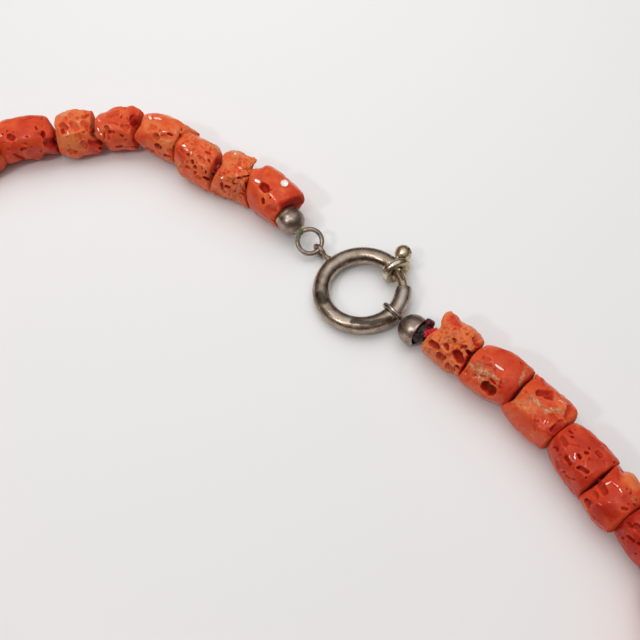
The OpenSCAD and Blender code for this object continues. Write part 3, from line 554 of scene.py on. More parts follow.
# Outlines of the beads in the photograph, read clockwise as x, y in its pixels, joined by smooth curves.
# Stretches that a neighbour hides are guessed.
OUTLINES = {
    1: [
        (252, 170), (262, 168), (268.5, 165.3), (280, 171), (288, 178.5), (298, 187), (304.3, 197.5),
        (300, 207.5), (286, 222), (277, 227), (263, 218.5), (251, 209.5), (246.5, 196), (248.5, 183),
    ],
    2: [
        (222.5, 156), (229, 151), (238, 150), (247, 155), (254.5, 156.5), (256.5, 161), (252.5, 168),
        (252.5, 190), (248.5, 208), (236, 202), (213, 193.5), (210.5, 187), (216, 174), (222, 165),
    ],
    3: [
        (177, 143), (187, 133), (200, 136.5), (211, 142.5), (219, 146.5), (222.5, 155), (221.5, 168),
        (213, 179), (209.5, 191.5), (195, 184.5), (181, 175.5), (174.5, 162), (175, 151),
    ],
    4: [
        (144.5, 116), (152, 112.2), (163, 113.3), (176, 118.5), (190, 127.5), (199.5, 135), (188, 150),
        (174, 163.5), (162, 158.5), (148, 151.5), (137, 142), (134.5, 136), (140.5, 126),
    ],
    5: [
        (96, 118), (105, 111), (116, 106.5), (124.5, 106.4), (133, 105.3), (141, 110.5), (144, 117),
        (142, 134), (137, 149), (124, 150.3), (111, 151), (103, 143), (97, 138.5), (95, 128),
    ],
    6: [
        (54.4, 121), (60, 112.5), (70, 109.3), (80, 109), (90, 110.5), (95, 117.5), (96.5, 131),
        (101.3, 140), (102.8, 147.5), (98, 153.5), (84, 156), (75, 159.5), (62, 154), (58, 145),
        (55.7, 131),
    ],
    7: [
        (0, 121.5), (14, 117), (41, 114.5), (49, 121.5), (56.5, 133), (59, 152.5), (46, 154.5), (40, 160),
        (31, 159.5), (22, 160.5), (9, 163.5), (0, 154), (-4, 136),
    ],
    39: [
        (442, 320), (446, 313.5), (451.5, 311.5), (457, 315), (462, 321), (470, 325), (477, 329),
        (482, 336), (483, 346), (471, 360), (460, 375.5), (446, 372), (438, 365.3), (427, 356), (421, 348),
        (428.5, 336), (440, 328),
    ],
    38: [
        (483.5, 347.5), (495, 345.3), (513, 352.5), (531, 366.5), (533.5, 377), (521, 394), (506, 406),
        (491, 402), (471, 391), (459.5, 379.5), (466, 367), (474, 354.5),
    ],
    37: [
        (533, 379), (541, 376.5), (555, 388.5), (572, 402), (577.8, 413), (566, 433), (552, 445),
        (538, 447.3), (520, 434), (504, 414.5), (502.5, 405.5), (514, 400), (524, 387),
    ],
    36: [
        (573, 424), (586, 427), (602, 441.5), (616.5, 456.5), (617, 466), (600, 482), (583, 495.5),
        (573, 494), (560, 477.5), (551, 464), (548.5, 447), (560, 432),
    ],
    35: [
        (618, 465), (624, 471), (634, 474), (643, 488), (645, 503), (628, 521), (610, 532), (595, 523.5),
        (581, 504.5), (580, 496.5), (598, 484), (610, 472),
    ],
}

# How orange (above 0.5) or deep red a bead is, how spongy from 0 to 1, and depth of its scallops in mm
CHARACTER = {
    1: (0.45, 0.05, 0.05), 2: (0.6, 0.9, 0.15), 3: (0.57, 0.6, 0.1), 4: (0.57, 0.2, 0.1),
    5: (0.5, 0.05, 0.25), 6: (0.6, 0.05, 0.4), 7: (0.34, 0.05, 0.05), 8: (0.4, 0.2, 0.1),
    34: (0.16, 0.1, 0.1), 35: (0.3, 0.1, 0.1), 36: (0.26, 0.15, 0.12), 37: (0.44, 0.3, 0.12),
    38: (0.42, 0.15, 0.08), 39: (0.68, 0.6, 0.3),
}

# Tints: x, y to x, y, half width, and how much more orange or, below zero, redder. Most are the coral's own
# tone; some red ones are painted shade, noted where they stand
TINTS = {
    # Bead 1's second tint is painted shade on its end by the left cup
    1: [(262, 193, 268, 199, 6, 0.12), (283, 204, 298, 201, 5, -0.45), (290, 192, 298, 196, 6, -0.1)],
    # Bead 3's first tint is painted shade on its end, in the gap by bead 2
    3: [(217.5, 161, 220, 169, 4, -0.5), (180, 150, 182, 156, 5, -0.2), (195, 143, 197, 144, 4, -0.15)],
    4: [(163, 144, 172, 143, 6, 0.25), (146, 124, 147, 130, 4, 0.2), (138, 136, 142, 142, 5, -0.15)],
    # Bead 5's first tint is painted shade in the big hollow at its right end
    5: [(134, 117, 134, 125, 6, -0.3), (135, 134, 138, 140, 5, -0.05), (117, 143, 135, 143, 5, -0.1)],
    6: [(66, 142, 72, 140, 8, 0.3), (66, 112, 80, 111, 5, 0.15), (92, 145, 97, 150, 6, -0.4)],
    7: [(2, 125, 12, 123, 7, 0.1), (50, 140, 55, 150, 7, -0.25)],
    34: [(620, 525, 630, 520, 6, -0.3)],
    35: [(628, 475, 636, 484, 8, 0.4), (600, 510, 612, 512, 8, -0.15)],
    36: [(555, 438, 562, 446, 6, -0.1)],
    37: [
        # Bead 37's third tint is painted shade at its end by bead 36
        (541, 392, 551, 395, 6, -0.05), (560, 402, 562, 406, 5, 0.2), (552, 432, 558, 430, 6, -0.4),
        (516, 397, 530, 410, 7, 0.2),
    ],
    38: [(470, 378, 478, 390, 8, 0.1), (500, 352, 520, 372, 8, -0.1), (505, 385, 512, 395, 8, -0.12)],
    39: [(453, 319, 458, 326, 5, -0.35), (464, 370, 470, 358, 5, -0.45), (476, 340, 478, 350, 4, -0.3)],
}

# Where the skin is worn through to chalky beige: x, y to x, y, half width, and how much
BARE = {
    2: [
        (231, 152, 236, 153, 4, 0.6), (236, 158, 239, 159, 3, 0.4), (237.5, 186.5, 239, 189.5, 3.2, 0.7),
        (242, 182, 243, 184, 2.5, 0.4), (233, 194, 240, 197, 3, 0.35), (225, 195, 227, 196, 2, 0.3),
    ],
    3: [
        (215, 144.5, 218, 149, 2.6, 0.8), (205, 170.5, 210, 174, 3, 0.55),
        (205.5, 155, 206.5, 162, 1.3, 0.4),
    ],
    4: [(176, 131, 179, 132.5, 2.4, 0.6), (165, 142, 172, 144, 4, 0.3), (157, 149.5, 159, 150.5, 2, 0.3)],
    35: [(633, 499, 636, 500, 3.4, 0.7)],
    37: [
        (531, 397, 538, 402, 3.4, 1.0), (513, 402, 525, 404, 2.6, 0.7), (540, 405, 545, 411, 3, 0.8),
        (547, 410, 562, 411, 3.2, 1.0), (555, 398, 560, 400, 2.5, 0.6), (523, 391, 527, 397, 4, 0.5),
        (532, 433, 534, 438, 3, 0.35),
    ],
    38: [
        (527, 367, 521, 379, 2.2, 1.0), (521, 379, 519.5, 386, 1.8, 0.9), (472, 366, 490, 373, 3.4, 0.75),
        (478, 372, 496, 377, 2.4, 0.9), (480, 378, 482, 384, 1.8, 0.7), (495.5, 379, 497, 386, 1.8, 0.7),
        (473, 367, 490, 364, 2.4, 0.5), (486, 387, 491, 391, 3.6, 0.9), (494, 377, 501, 380, 2, 0.5),
        (472, 364, 484, 362, 3.5, 0.4), (476, 374, 486, 379, 6, 0.45),
    ],
}

# Polished spots that mirror a lamp: x, y to x, y, half width, gloss, and which lamp
FACETS = {
    1: [
        (255.8, 180.3, 258.6, 181.3, 2.1, 1, "window"),
        (269.8, 193.6, 275.6, 200.2, 1.3, 1, "overhead_lamp"),
    ],
    2: [
        (238.6, 167.4, 241.3, 168.6, 1.1, 0.6, "overhead_lamp"),
        (236.4, 172.8, 236.8, 176, 1.0, 0.6, "overhead_lamp"), (233, 154, 236.4, 152.6, 1.0, 0.5, "window"),
        (228.4, 160.4, 230.6, 160, 0.8, 0.4, "overhead_lamp"), (221, 178.4, 222.6, 177, 0.9, 0.3, "window"),
    ],
    3: [
        (183.2, 145, 184.6, 146.2, 1.6, 0.35, "window"), (185.3, 149, 187.3, 149.8, 1.5, 0.3, "window"),
        (205.3, 155, 206.3, 160, 0.9, 0.3, "ceiling_lamp"),
        (190.8, 151.5, 191, 154, 1.0, 0.3, "overhead_lamp"),
    ],
    4: [
        (149.6, 117.3, 150.4, 117.4, 1.9, 1, "ceiling_lamp"),
        (154.5, 117.8, 160.5, 118.6, 1.3, 0.35, "ceiling_lamp"),
        (163, 131.6, 167, 132.6, 0.9, 0.5, "overhead_lamp"),
    ],
    5: [
        (99, 120.2, 99.8, 121.4, 1.2, 0.6, "window"), (97.8, 128, 98.6, 130.4, 1.1, 0.5, "window"),
        (100.6, 134, 101.4, 135, 1.1, 0.6, "window"),
        (109.5, 126.6, 111.6, 128.2, 1.0, 0.2, "overhead_lamp"),
    ],
    6: [
        (67.6, 124.3, 69.2, 125.8, 1.2, 0.3, "window"), (67.6, 132.4, 68.4, 134, 1.2, 0.3, "window"),
        (77.2, 121, 79.4, 121.8, 1.1, 0.25, "ceiling_lamp"),
    ],
    7: [
        (0.6, 135.2, 1.8, 136, 1.3, 0.6, "overhead_lamp"),
        (15.2, 139.4, 15.8, 140.4, 1.0, 0.3, "overhead_lamp"),
    ],
    35: [
        (606.5, 484.3, 611, 482.6, 1.3, 0.8, "window"), (614, 483.6, 618, 487, 1.3, 0.8, "window"),
        (619.6, 489, 621.5, 493, 1.2, 0.7, "window"), (597.5, 502.6, 600.5, 504.4, 1.0, 0.4, "window"),
    ],
    36: [
        (575, 452.6, 574.8, 458.6, 1.5, 0.9, "overhead_lamp"),
        (583.8, 458, 584.8, 459.4, 1.1, 0.7, "overhead_lamp"),
        (585.4, 461.4, 586.4, 462.6, 1.1, 0.7, "overhead_lamp"),
        (590.2, 461.8, 591.2, 462.6, 1.1, 0.7, "overhead_lamp"),
    ],
    37: [
        (532, 395.6, 534, 398.2, 0.9, 0.6, "overhead_lamp"),
        (535.6, 399, 538.6, 401, 1.0, 0.7, "overhead_lamp"),
        (542.6, 424.6, 546.6, 418.8, 1.0, 0.9, "window"), (546, 424.4, 549.6, 419.6, 0.8, 0.6, "window"),
        (548.6, 412.4, 552, 411.6, 0.9, 0.5, "overhead_lamp"),
        (555.6, 408.6, 559, 410.2, 0.9, 0.5, "overhead_lamp"),
        (559, 399.4, 563.6, 402.4, 0.9, 0.6, "ceiling_lamp"),
    ],
    38: [
        (495.8, 365.2, 503, 369.8, 1.6, 1, "overhead_lamp"), (470.5, 363.6, 474, 363, 0.8, 0.2, "window"),
        (476, 371.2, 481, 372.8, 0.9, 0.5, "overhead_lamp"),
    ],
    39: [
        (441.6, 344.5, 443, 348.6, 0.9, 0.3, "overhead_lamp"),
        (450, 346.5, 450.8, 350, 0.9, 0.3, "overhead_lamp"),
    ],
}

# Voxels that a bead is remeshed with, in millimetres, and how many times it is smoothed
SHOWN_BEAD = (0.53, 12)
HIDDEN_BEAD = (0.74, 6)

# The bore that the string passes through, all at one height
BORE_HEIGHT = 5.6 * MM
BORE_RADIUS = 0.8 * MM

# How many directions a bead's edge is measured in, and how often those reaches are smoothed
OUTLINE_BINS = 96
OUTLINE_PASSES = 5

# How much deeper a charted hollow is cut than its row says, and how ragged its rim is in the photograph
HOLLOW_DEPTH = 1.5
WARP_PX = 0.7

# Depth of a spongy bead's pores, and how far each bead's sawn ends move out again after the smoothing
PORE_MM = 0.38
END_MM = 0.09

# How many hollows and worn patches are drawn at random: wide hollows where the photograph shows nothing,
# small pits on every bead and more of them on a spongy one, and patches on the beads that it doesn't show
WIDE_HOLLOWS = 16
SMALL_PITS = 25
SPONGY_PITS = 60
HIDDEN_PATCHES = 3


def bore_line(places):
    """A point on a bead's bore and its direction, found from the vertices at the bore's height"""
    level = places[np.abs(places[:, 2] - BORE_HEIGHT) < 1.01 * BORE_RADIUS][:, :2]
    for _ in range(4):
        middle = level.mean(0)
        _, _, ways = np.linalg.svd(level - middle)
        way = ways[0]
        off = (level - middle) @ np.array([-way[1], way[0]])
        level = level[np.abs(off - np.median(off)) < 1.3 * BORE_RADIUS]
    return np.append(level.mean(0), BORE_HEIGHT), np.append(way, 0)


def distance_from_bore(places, middle, way):
    """How far points lie from the line through middle along way"""
    return np.linalg.norm(np.cross(places - middle, way), axis=1)


def closed_curve(corners, steps=6):
    """Points on a smooth closed curve through the corners"""
    before, after, beyond = np.roll(corners, 1, 0), np.roll(corners, -1, 0), np.roll(corners, -2, 0)
    found = []
    for t in np.linspace(0, 1, steps, endpoint=False):
        found.append(0.5 * (2 * corners + (after - before) * t
                            + (2 * before - 5 * corners + 4 * after - beyond) * t ** 2
                            + (3 * corners - before - 3 * after + beyond) * t ** 3))
    return np.stack(found, 1).reshape(-1, 2)


def turn_and_reach(offsets):
    """Direction and length of each offset"""
    return np.arctan2(offsets[:, 1], offsets[:, 0]), np.linalg.norm(offsets, axis=1)


def trim_to_outline(places, outline):
    """Draws a bead's edge, as the camera sees it, in or out to its outline in the photograph"""
    corners = np.array(outline, float)
    centre = (corners.max(0) + corners.min(0)) / 2
    away = to_photo(places) - centre
    turn, reach = turn_and_reach(away)
    bins = np.linspace(-math.pi, math.pi, OUTLINE_BINS + 1)
    edge = np.zeros(OUTLINE_BINS)
    np.maximum.at(edge, np.clip(np.digitize(turn, bins) - 1, 0, OUTLINE_BINS - 1), reach)
    for _ in range(OUTLINE_PASSES):
        edge = (np.roll(edge, 1) + 2 * edge + np.roll(edge, -1)) / 4
    now = np.interp(turn, (bins[:-1] + bins[1:]) / 2, edge, period=2 * math.pi)
    wanted = np.interp(turn, *turn_and_reach(closed_curve(corners) - centre), period=2 * math.pi)
    shift = away * ((wanted / now - 1) * smooth_step(0.3, 1.0, reach / now))[:, None]
    step = np.outer(shift[:, 0], CAMERA_RIGHT) - np.outer(shift[:, 1], CAMERA_UP)
    places += step * (camera_depth(places) / FOCAL_PX)[:, None]
    above_table(places)


def refine(piece, wanted):
    """Cuts the faces round the wanted vertices finer"""
    only(piece)
    bpy.ops.object.mode_set(mode="EDIT")
    bpy.ops.mesh.select_mode(type="FACE")
    bpy.ops.mesh.select_all(action="DESELECT")
    bpy.ops.object.mode_set(mode="OBJECT")
    for face in piece.data.polygons:
        face.select = any(wanted[v] for v in face.vertices)
    bpy.ops.object.mode_set(mode="EDIT")
    bpy.ops.mesh.subdivide(number_cuts=1)
    bpy.ops.object.mode_set(mode="OBJECT")


def bead_blank(number):
    """The CAD bead rounded off, drawn to its outline and cut finer where it is carved, and its bore"""
    charted = number in HOLLOWS
    voxel_mm, passes = SHOWN_BEAD if charted else HIDDEN_BEAD
    piece = merged_copy(f"coral_bead_{number:02d}", f"coral_{number:02d}")
    middle, way = bore_line(vertices_of(piece)[0])
    modify(piece, "REMESH", mode="VOXEL", voxel_size=voxel_mm * MM)
    off_bore = distance_from_bore(vertices_of(piece)[0], middle, way)
    skin = piece.vertex_groups.new(name="skin")
    skin.add([int(i) for i in np.flatnonzero(off_bore > 1.6 * BORE_RADIUS)], 1, "REPLACE")
    modify(piece, "SMOOTH", factor=0.5, iterations=passes, vertex_group="skin")
    modify(piece, "SUBSURF", levels=1, render_levels=1)
    piece.vertex_groups.clear()
    if number in OUTLINES:
        places, _ = vertices_of(piece)
        trim_to_outline(places, OUTLINES[number])
        reshape(piece, places)
    if charted:
        places, normals = vertices_of(piece)
        seen = to_photo(places)
        rows = HOLLOWS[number] + FACETS.get(number, [])
        near = np.min([row_distance(seen, row) for row in rows], axis=0) < 1.25
        refine(piece, near & (facing_camera(places, normals) > 0.3))
    return piece, middle, way


def bead_skin(piece, number, middle, way, tone):
    """A bead's vertices, what the carving goes by at each one, and the numbers that its material reads"""
    places, normals = vertices_of(piece)
    seen = to_photo(places)
    warp = [clouds_on(places, 0.8, number + 20), clouds_on(places, 0.8, number + 30)]
    off_bore = distance_from_bore(places, middle, way)
    outside = smooth_step(1.2 * BORE_RADIUS, 2.2 * BORE_RADIUS, off_bore)
    end_face = smooth_step(0.55, 0.85, np.abs(normals @ way))
    facing = facing_camera(places, normals) * outside if number in HOLLOWS else 0 * outside
    return SimpleNamespace(
        places=places,
        normals=normals,
        blank=places.copy(),
        seen=seen,
        ragged=seen + WARP_PX * np.column_stack(warp),
        outside=outside,
        end_face=end_face,
        side=outside * (1 - end_face),
        facing=facing,
        wobble=clouds_on(places, 0.9, number),
        crumb=clouds_on(places, 0.7, number + 90),
        tone=np.full(len(places), tone),
        # Painted shade on the sawn ends, where neighbouring beads meet
        hollow=0.12 * end_face,
        bare=np.zeros(len(places)),
        shine=np.zeros(len(places)),
    )


def roughen(skin, number, sponge, scallop_mm):
    """Swells and lumps all over a bead, pores where it is spongy, and the scallops between its ribs"""
    swell = clouds_on(skin.blank, 3.2, number + 50)
    lumps = clouds_on(skin.blank, 1.4, number + 70)
    patchy = smooth_step(-0.35, 0.25, swell) * sponge * skin.side
    pores = smooth_step(0.03, 0.32, net_on(skin.blank, 1.5 - 0.5 * sponge, number))
    scallops = scallop_mm * np.clip(net_on(skin.blank, 2.6, number + 5), 0, 1) ** 0.7 * skin.side
    rough = 0.17 * swell + (0.05 + 0.12 * sponge) * lumps + (0.01 + 0.08 * sponge) * skin.crumb
    rise = rough * skin.outside * (1 - 0.7 * skin.end_face) - PORE_MM * patchy * pores
    rise += END_MM * skin.end_face * skin.outside - scallops
    push_out(skin.places, skin.normals, rise)
    # Painted shade: redder down in the pores and scallops, and the pores darken further through hollow
    skin.tone += patchy * (0.12 - 0.2 * pores) - 0.3 * scallops
    skin.hollow += 0.3 * patchy * pores


def carve_charted(skin, number):
    """The hollows, with painted shade in them and painted highlights on their rims, and the tints and worn
    patches that the photograph shows
    """
    for *line, depth_mm, steep in HOLLOWS.get(number, ()):
        near = row_distance(skin.ragged, line) * (1 + 0.1 * skin.wobble)
        weight = bowl(near, steep) * skin.facing
        if weight.max() > 0.05:
            sink(skin.places, skin.normals, weight, depth_mm * HOLLOW_DEPTH)
            rim = smooth_step(0.8, 1.1, near) * smooth_step(1.6, 1.15, near) * skin.facing
            # Painted shade: darker and redder down in the hollow; painted highlight: more orange on its rim
            # and on a raised spot
            skin.hollow += weight * max(1.3 * depth_mm, 0) * smooth_step(0.4, 0.85, steep)
            skin.tone += 0.06 * rim - 0.3 * weight * depth_mm
    for *line, orange in TINTS.get(number, ()):
        near = row_distance(skin.ragged, line) + 0.2 * skin.wobble
        skin.tone += orange * smooth_step(1.3, 0.4, near) * skin.facing
    for *line, chalk in BARE.get(number, ()):
        near = row_distance(skin.ragged, line) + 0.3 * skin.crumb
        skin.bare += chalk * smooth_step(1.4, 0.3, near) * skin.facing


def carve_hidden(skin, shaker, sponge):
    """Hollows that the photograph doesn't show: a few wide ones, and many small pits on a spongy bead"""
    wide = [
        (shaker.uniform(0.5, 1.5), shaker.uniform(0.2, 0.8), shaker.uniform(0.3, 0.9))
        for _ in range(WIDE_HOLLOWS)
    ]
    small = [
        (shaker.uniform(0.25, 0.5), shaker.uniform(0.2, 0.5), 0.8)
        for _ in range(int(SMALL_PITS + SPONGY_PITS * sponge))
    ]
    for index, (radius_mm, depth_mm, steep) in enumerate(wide + small):
        centre = skin.blank[shaker.randrange(len(skin.blank))]
        near = np.linalg.norm(skin.blank - centre, axis=1) / (radius_mm * MM) * (1 + 0.16 * skin.wobble)
        hidden = 1 - skin.facing if index < WIDE_HOLLOWS else 1 - 0.5 * skin.facing
        weight = bowl(near, steep) * hidden * skin.side
        if weight.max() > 0.05:
            sink(skin.places, skin.normals, weight, depth_mm)
            # Painted shade in the hollow
            skin.hollow += 1.2 * weight * depth_mm


def wear_hidden(skin, shaker):
    """Worn patches for a bead that the photograph doesn't show"""
    for _ in range(HIDDEN_PATCHES):
        centre = skin.blank[shaker.randrange(len(skin.blank))]
        near = np.linalg.norm(skin.blank - centre, axis=1) / (shaker.uniform(1, 2.4) * MM)
        skin.bare += shaker.uniform(0.2, 0.7) * smooth_step(1.2, 0.3, near + 0.4 * skin.wobble)


def polish_spot(skin, line, gloss, lamp):
    """Flattens a spot so that it mirrors a lamp to the camera, and makes it shine"""
    weight = smooth_step(1.5, 0.8, row_distance(skin.seen, line)) * skin.facing
    if weight.max() > 0.1:
        lamp_place, _, _ = LAMPS[lamp]
        middle = (skin.places * weight[:, None]).sum(0) / weight.sum()
        toward = [point - middle for point in (CAMERA_PLACE, lamp_place + LAMP_AIM)]
        tilt = sum(way / np.linalg.norm(way) for way in toward)
        tilt /= np.linalg.norm(tilt)
        skin.places -= np.outer((skin.places - middle) @ tilt * weight, tilt)
        skin.shine = np.maximum(skin.shine, weight * gloss)


def coral_bead(number, material):
    """One coral bead: the CAD bead, rounded, then carved, pitted and stained, with painted shade in its
    hollows and on its sawn ends
    """
    shaker = random.Random(number * 31)
    guess = (shaker.uniform(0.25, 0.65), shaker.random(), shaker.uniform(0, 0.35))
    tone, sponge, scallop_mm = CHARACTER.get(number, guess)
    piece, middle, way = bead_blank(number)
    skin = bead_skin(piece, number, middle, way, tone)
    roughen(skin, number, sponge, scallop_mm)
    carve_charted(skin, number)
    carve_hidden(skin, shaker, sponge)
    if number not in HOLLOWS:
        wear_hidden(skin, shaker)
    for *line, gloss, lamp in FACETS.get(number, ()):
        polish_spot(skin, line, gloss, lamp)
    above_table(skin.places)
    reshape(piece, skin.places)
    store(piece, tone=skin.tone, hollow=skin.hollow * (1 - skin.shine), bare=skin.bare,
          shine=skin.shine - 3 * skin.end_face * skin.outside)
    finish_piece(piece, material, "coral", BODY, f"coral_bead_{number:02d}")
    return piece


# Marks on the metal: x, y to x, y in the photograph's pixels, half width in pixels, and strength. Some dark
# and pale rows are painted shade, painted dark reflections and painted highlights, noted where they stand
RING_MARKS = {
    "dark": [
        (319.5, 294.5, 323.5, 300.5, 4.6, 0.85), (317.8, 281, 318.2, 282.4, 1.8, 0.5),
        (349, 263.5, 337, 268.5, 0.6, 0.8), (337, 268.5, 329, 277, 0.6, 0.8),
        (329, 277, 326.8, 286, 0.6, 0.9), (326.8, 286, 329, 297, 0.6, 0.9),
        # These two rows are a painted dark reflection along the tube's inner top
        (350, 261.5, 366, 258.5, 2.4, 0.5), (366, 258.5, 384, 263.5, 2.4, 0.5),
        # The first two rows here are a painted dark reflection along the tube's lower edge
        (352, 321.5, 372, 323, 2.6, 0.85), (372, 323, 390, 318, 2.6, 0.85), (390, 275, 392, 280, 0.8, 0.6),
        (346, 272, 338, 280, 1.5, 0.3), (397.5, 287.5, 393, 294.5, 1.0, 0.5),
        # A painted dark reflection along the tube's outer edge at the lower left
        (312.5, 290, 318, 309, 1.2, 0.4), (318, 309, 334, 324, 1.2, 0.4),
    ],
    "brass": [
        (386, 276, 384.5, 270, 3.8, 0.9), (384.5, 270, 389, 264.5, 3.8, 0.9),
        (389, 264.5, 398, 262.5, 3.4, 0.9), (398, 262.5, 407, 265, 3.4, 0.9),
        (407, 265, 410, 271, 3.4, 0.9), (410, 271, 405, 277, 3.4, 0.9), (404, 277, 394, 281, 3.4, 0.9),
        (394, 281, 387, 277, 3.6, 0.9), (327, 254.5, 329, 256.5, 3.2, 0.8),
    ],
    "green": [(391, 275, 393, 280, 0.8, 0.4), (326, 257.5, 328, 258.5, 1.0, 0.3)],
    # Painted highlights and painted reflections: paler bands where the tube mirrors the lamps, and paler
    # patches on the collar and the tube's right part
    "rubbed_and_highlight": [
        (347, 256.5, 330, 266.5, 2.2, 0.12), (330, 266.5, 323.5, 281, 2.2, 0.2),
        (369, 254, 388, 263, 2.0, 0.05), (331, 311, 350, 320.5, 2.2, 0.2), (386, 267, 398, 262, 2.2, 0.6),
        (384.5, 269, 386, 276, 2.5, 0.5), (404, 293, 402, 306, 4.5, 0.4), (402, 306, 392, 314, 4.0, 0.3),
    ],
}
LEFT_CUP_MARKS = {
    # A darker line along the mouth, and painted shade on the bell's right side and lower part
    "dark": [
        (279, 220, 294, 206.5, 1.3, 0.3), (300, 225, 303, 215, 2.5, 0.3), (288, 226, 295, 224, 3.0, 0.3),
    ],
    "brass": [
        (276, 221.5, 283, 214, 0.9, 0.9), (283, 214, 294.5, 205.5, 0.9, 0.9),
        (303.5, 228, 304.5, 231, 2.4, 0.8),
    ],
    "green": [
        (294, 235, 297, 236.5, 2.0, 0.8), (299, 229, 301, 232, 2.0, 0.9), (300, 232, 298, 241, 1.5, 0.6),
        (298, 241, 301, 249, 1.3, 0.3),
    ],
    # Painted highlights: two spots where the bell mirrors the lamps
    "rubbed_and_highlight": [(284, 216, 287.5, 216.5, 1.8, 0.5), (290.5, 218, 292.5, 219, 1.2, 0.3)],
}
RIGHT_CUP_MARKS = {
    "dark": [
        (399.5, 325, 402, 332, 2.4, 0.6), (404, 320, 410, 316.5, 1.5, 0.3), (413, 347, 420, 342, 2.0, 0.3),
        # Painted shade in the gap between the loop's two wires
        (384.6, 303.2, 401, 319.8, 0.45, 0.95),
    ],
    "brass": [(426.5, 322.5, 417.5, 327.5, 1.9, 0.9), (417.5, 328, 411.5, 343.5, 1.2, 0.8)],
    "green": [],
    "rubbed_and_highlight": [
        # The first two rows are painted highlights along the loop's two wires, the third a painted highlight
        # on the bell; the last two are the worn rim
        (383, 305, 399.5, 321.5, 0.8, 0.8), (386, 303, 402, 318, 0.8, 0.6), (410, 328, 413, 330, 1.5, 0.3),
        (426.5, 321.5, 417, 327.5, 1.6, 0.9), (417, 327.5, 411.5, 343.5, 1.1, 0.8),
    ],
}
BOLT_MARKS = {
    "dark": [
        # These two rows are painted shade in the groove and the notch that the dents cut
        (399.5, 270.5, 402.5, 279, 0.7, 0.5), (408.5, 249, 410.5, 252, 1.4, 0.9),
        (396.5, 258, 400, 260.5, 1.0, 0.4),
    ],
    "brass": [(402, 252, 405, 256, 4.0, 0.4), (396, 257, 405, 261, 2.0, 0.5)],
    "green": [],
    # Painted highlights on the knob and along both sides of the bolt's groove
    "rubbed_and_highlight": [
        (401.5, 252.5, 404.5, 254.5, 1.6, 0.4), (396, 270, 401, 281, 1.2, 0.3),
        (404.5, 272, 407, 283, 1.2, 0.2),
    ],
}

# Dents and grooves of the metal: x, y to x, y, half width in pixels, and depth in millimetres
RING_DENTS = [
    (329, 277, 326.8, 286, 0.8, 0.05), (326.8, 286, 329, 297, 0.8, 0.05), (390, 275, 391.5, 280, 1.0, 0.1),
    (407.5, 268.5, 410.5, 275, 1.0, 0.1),
]
RIGHT_CUP_DENTS = [(384.6, 303.2, 401, 319.8, 0.6, 0.16), (419, 328, 416, 333, 2.0, 0.25)]
BOLT_DENTS = [(399.3, 269.5, 402.5, 279, 1.4, 0.28), (408.3, 248.5, 411, 252, 1.3, 0.3)]

# Parts that stand fatter than the CAD's: centre in the frame, reach, and how much, in millimetres. They
# swell on the sides that turn away from the bolt's way through the collar.
COLLAR = ((34.16, 35.42, 3.32), 4.2, 0.2)
KNOB = ((35.9, 39.85, 3.53), 2.1, 0.13)
BOLT_WAY = np.array([-0.5225, 0.8526, -0.0219])

# The clasp's tube: a ring round this point, leaning a little
RING_CENTRE = np.array([26.44, 30.69, 2.65]) * MM
RING_AXIS = np.array([-0.0741, -0.01986, 0.99705])
RING_RADIUS = 9.05 * MM
TUBE_RADIUS = 1.9 * MM

# The metal's edges are worn round over about this length
WORN_MM = 0.3

# The white plug: x, y of its middle in the photograph and its radius there, its real radius and depth, and
# how strongly it turns from the coral's own slope to the camera
PLUG_PHOTO = (284.5, 183.7)
PLUG_RADIUS_PX = 2.5
PLUG_RADIUS_MM = 0.87
PLUG_DEPTH_MM = 0.7
PLUG_LEAN = 0.8

# The red knot runs between these places: x, y in the photograph and height above the table in millimetres
KNOT_START = (425.5, 333.5, 4.8)
KNOT_END = (436.5, 332.5, 5.4)

# Its loose fibres start anywhere between these x and y of the photograph, at this height
FIBRES = 9
FIBRES_X = (426, 435)
FIBRES_Y = (328, 337)
FIBRES_HEIGHT_MM = 6.0

# Length in which the plies of a thread twist round it once
TWIST_MM = 2.2

# The dark lip: its middle as for the knot, the way that it points, its radius and how that is stretched
LIP_MIDDLE = (429.8, 323, 5.0)
LIP_WAY = (0.55, 0.35, 0.6)
LIP_RADIUS_MM = 1.25
LIP_STRETCH = (0.85, 1.15, 0.7)


def from_tube(places):
    """How places lie from the centre line of the clasp's tube: offsets and distances"""
    off = places - RING_CENTRE
    flat = off - np.outer(off @ RING_AXIS, RING_AXIS)
    out = off - flat / np.linalg.norm(flat, axis=1)[:, None] * RING_RADIUS
    return out, np.linalg.norm(out, axis=1)


def round_tube(places):
    """Puts the vertices near the clasp's tube exactly on it, so that it shines evenly"""
    out, reach = from_tube(places)
    share = smooth_step(0.2, 0.1, np.abs(reach - TUBE_RADIUS) / MM)
    places += out * ((TUBE_RADIUS / reach - 1) * share)[:, None]


def fatten(places, normals, centre_mm, reach_mm, swell_mm):
    """Swells the collar's rim or the knob, and leaves the tube as it is"""
    off = places - np.array(centre_mm) * MM
    out = off - np.outer(off @ BOLT_WAY, BOLT_WAY)
    out /= np.linalg.norm(out, axis=1)[:, None] + 1e-12
    near = smooth_step(reach_mm, 0.9 * reach_mm, np.linalg.norm(off, axis=1) / MM)
    outward = smooth_step(-0.1, 0.4, (normals * out).sum(1))
    _, reach = from_tube(places)
    clear = smooth_step(0.1, 0.35, (reach - TUBE_RADIUS) / MM)
    push_out(places, normals, near * outward * clear * swell_mm)


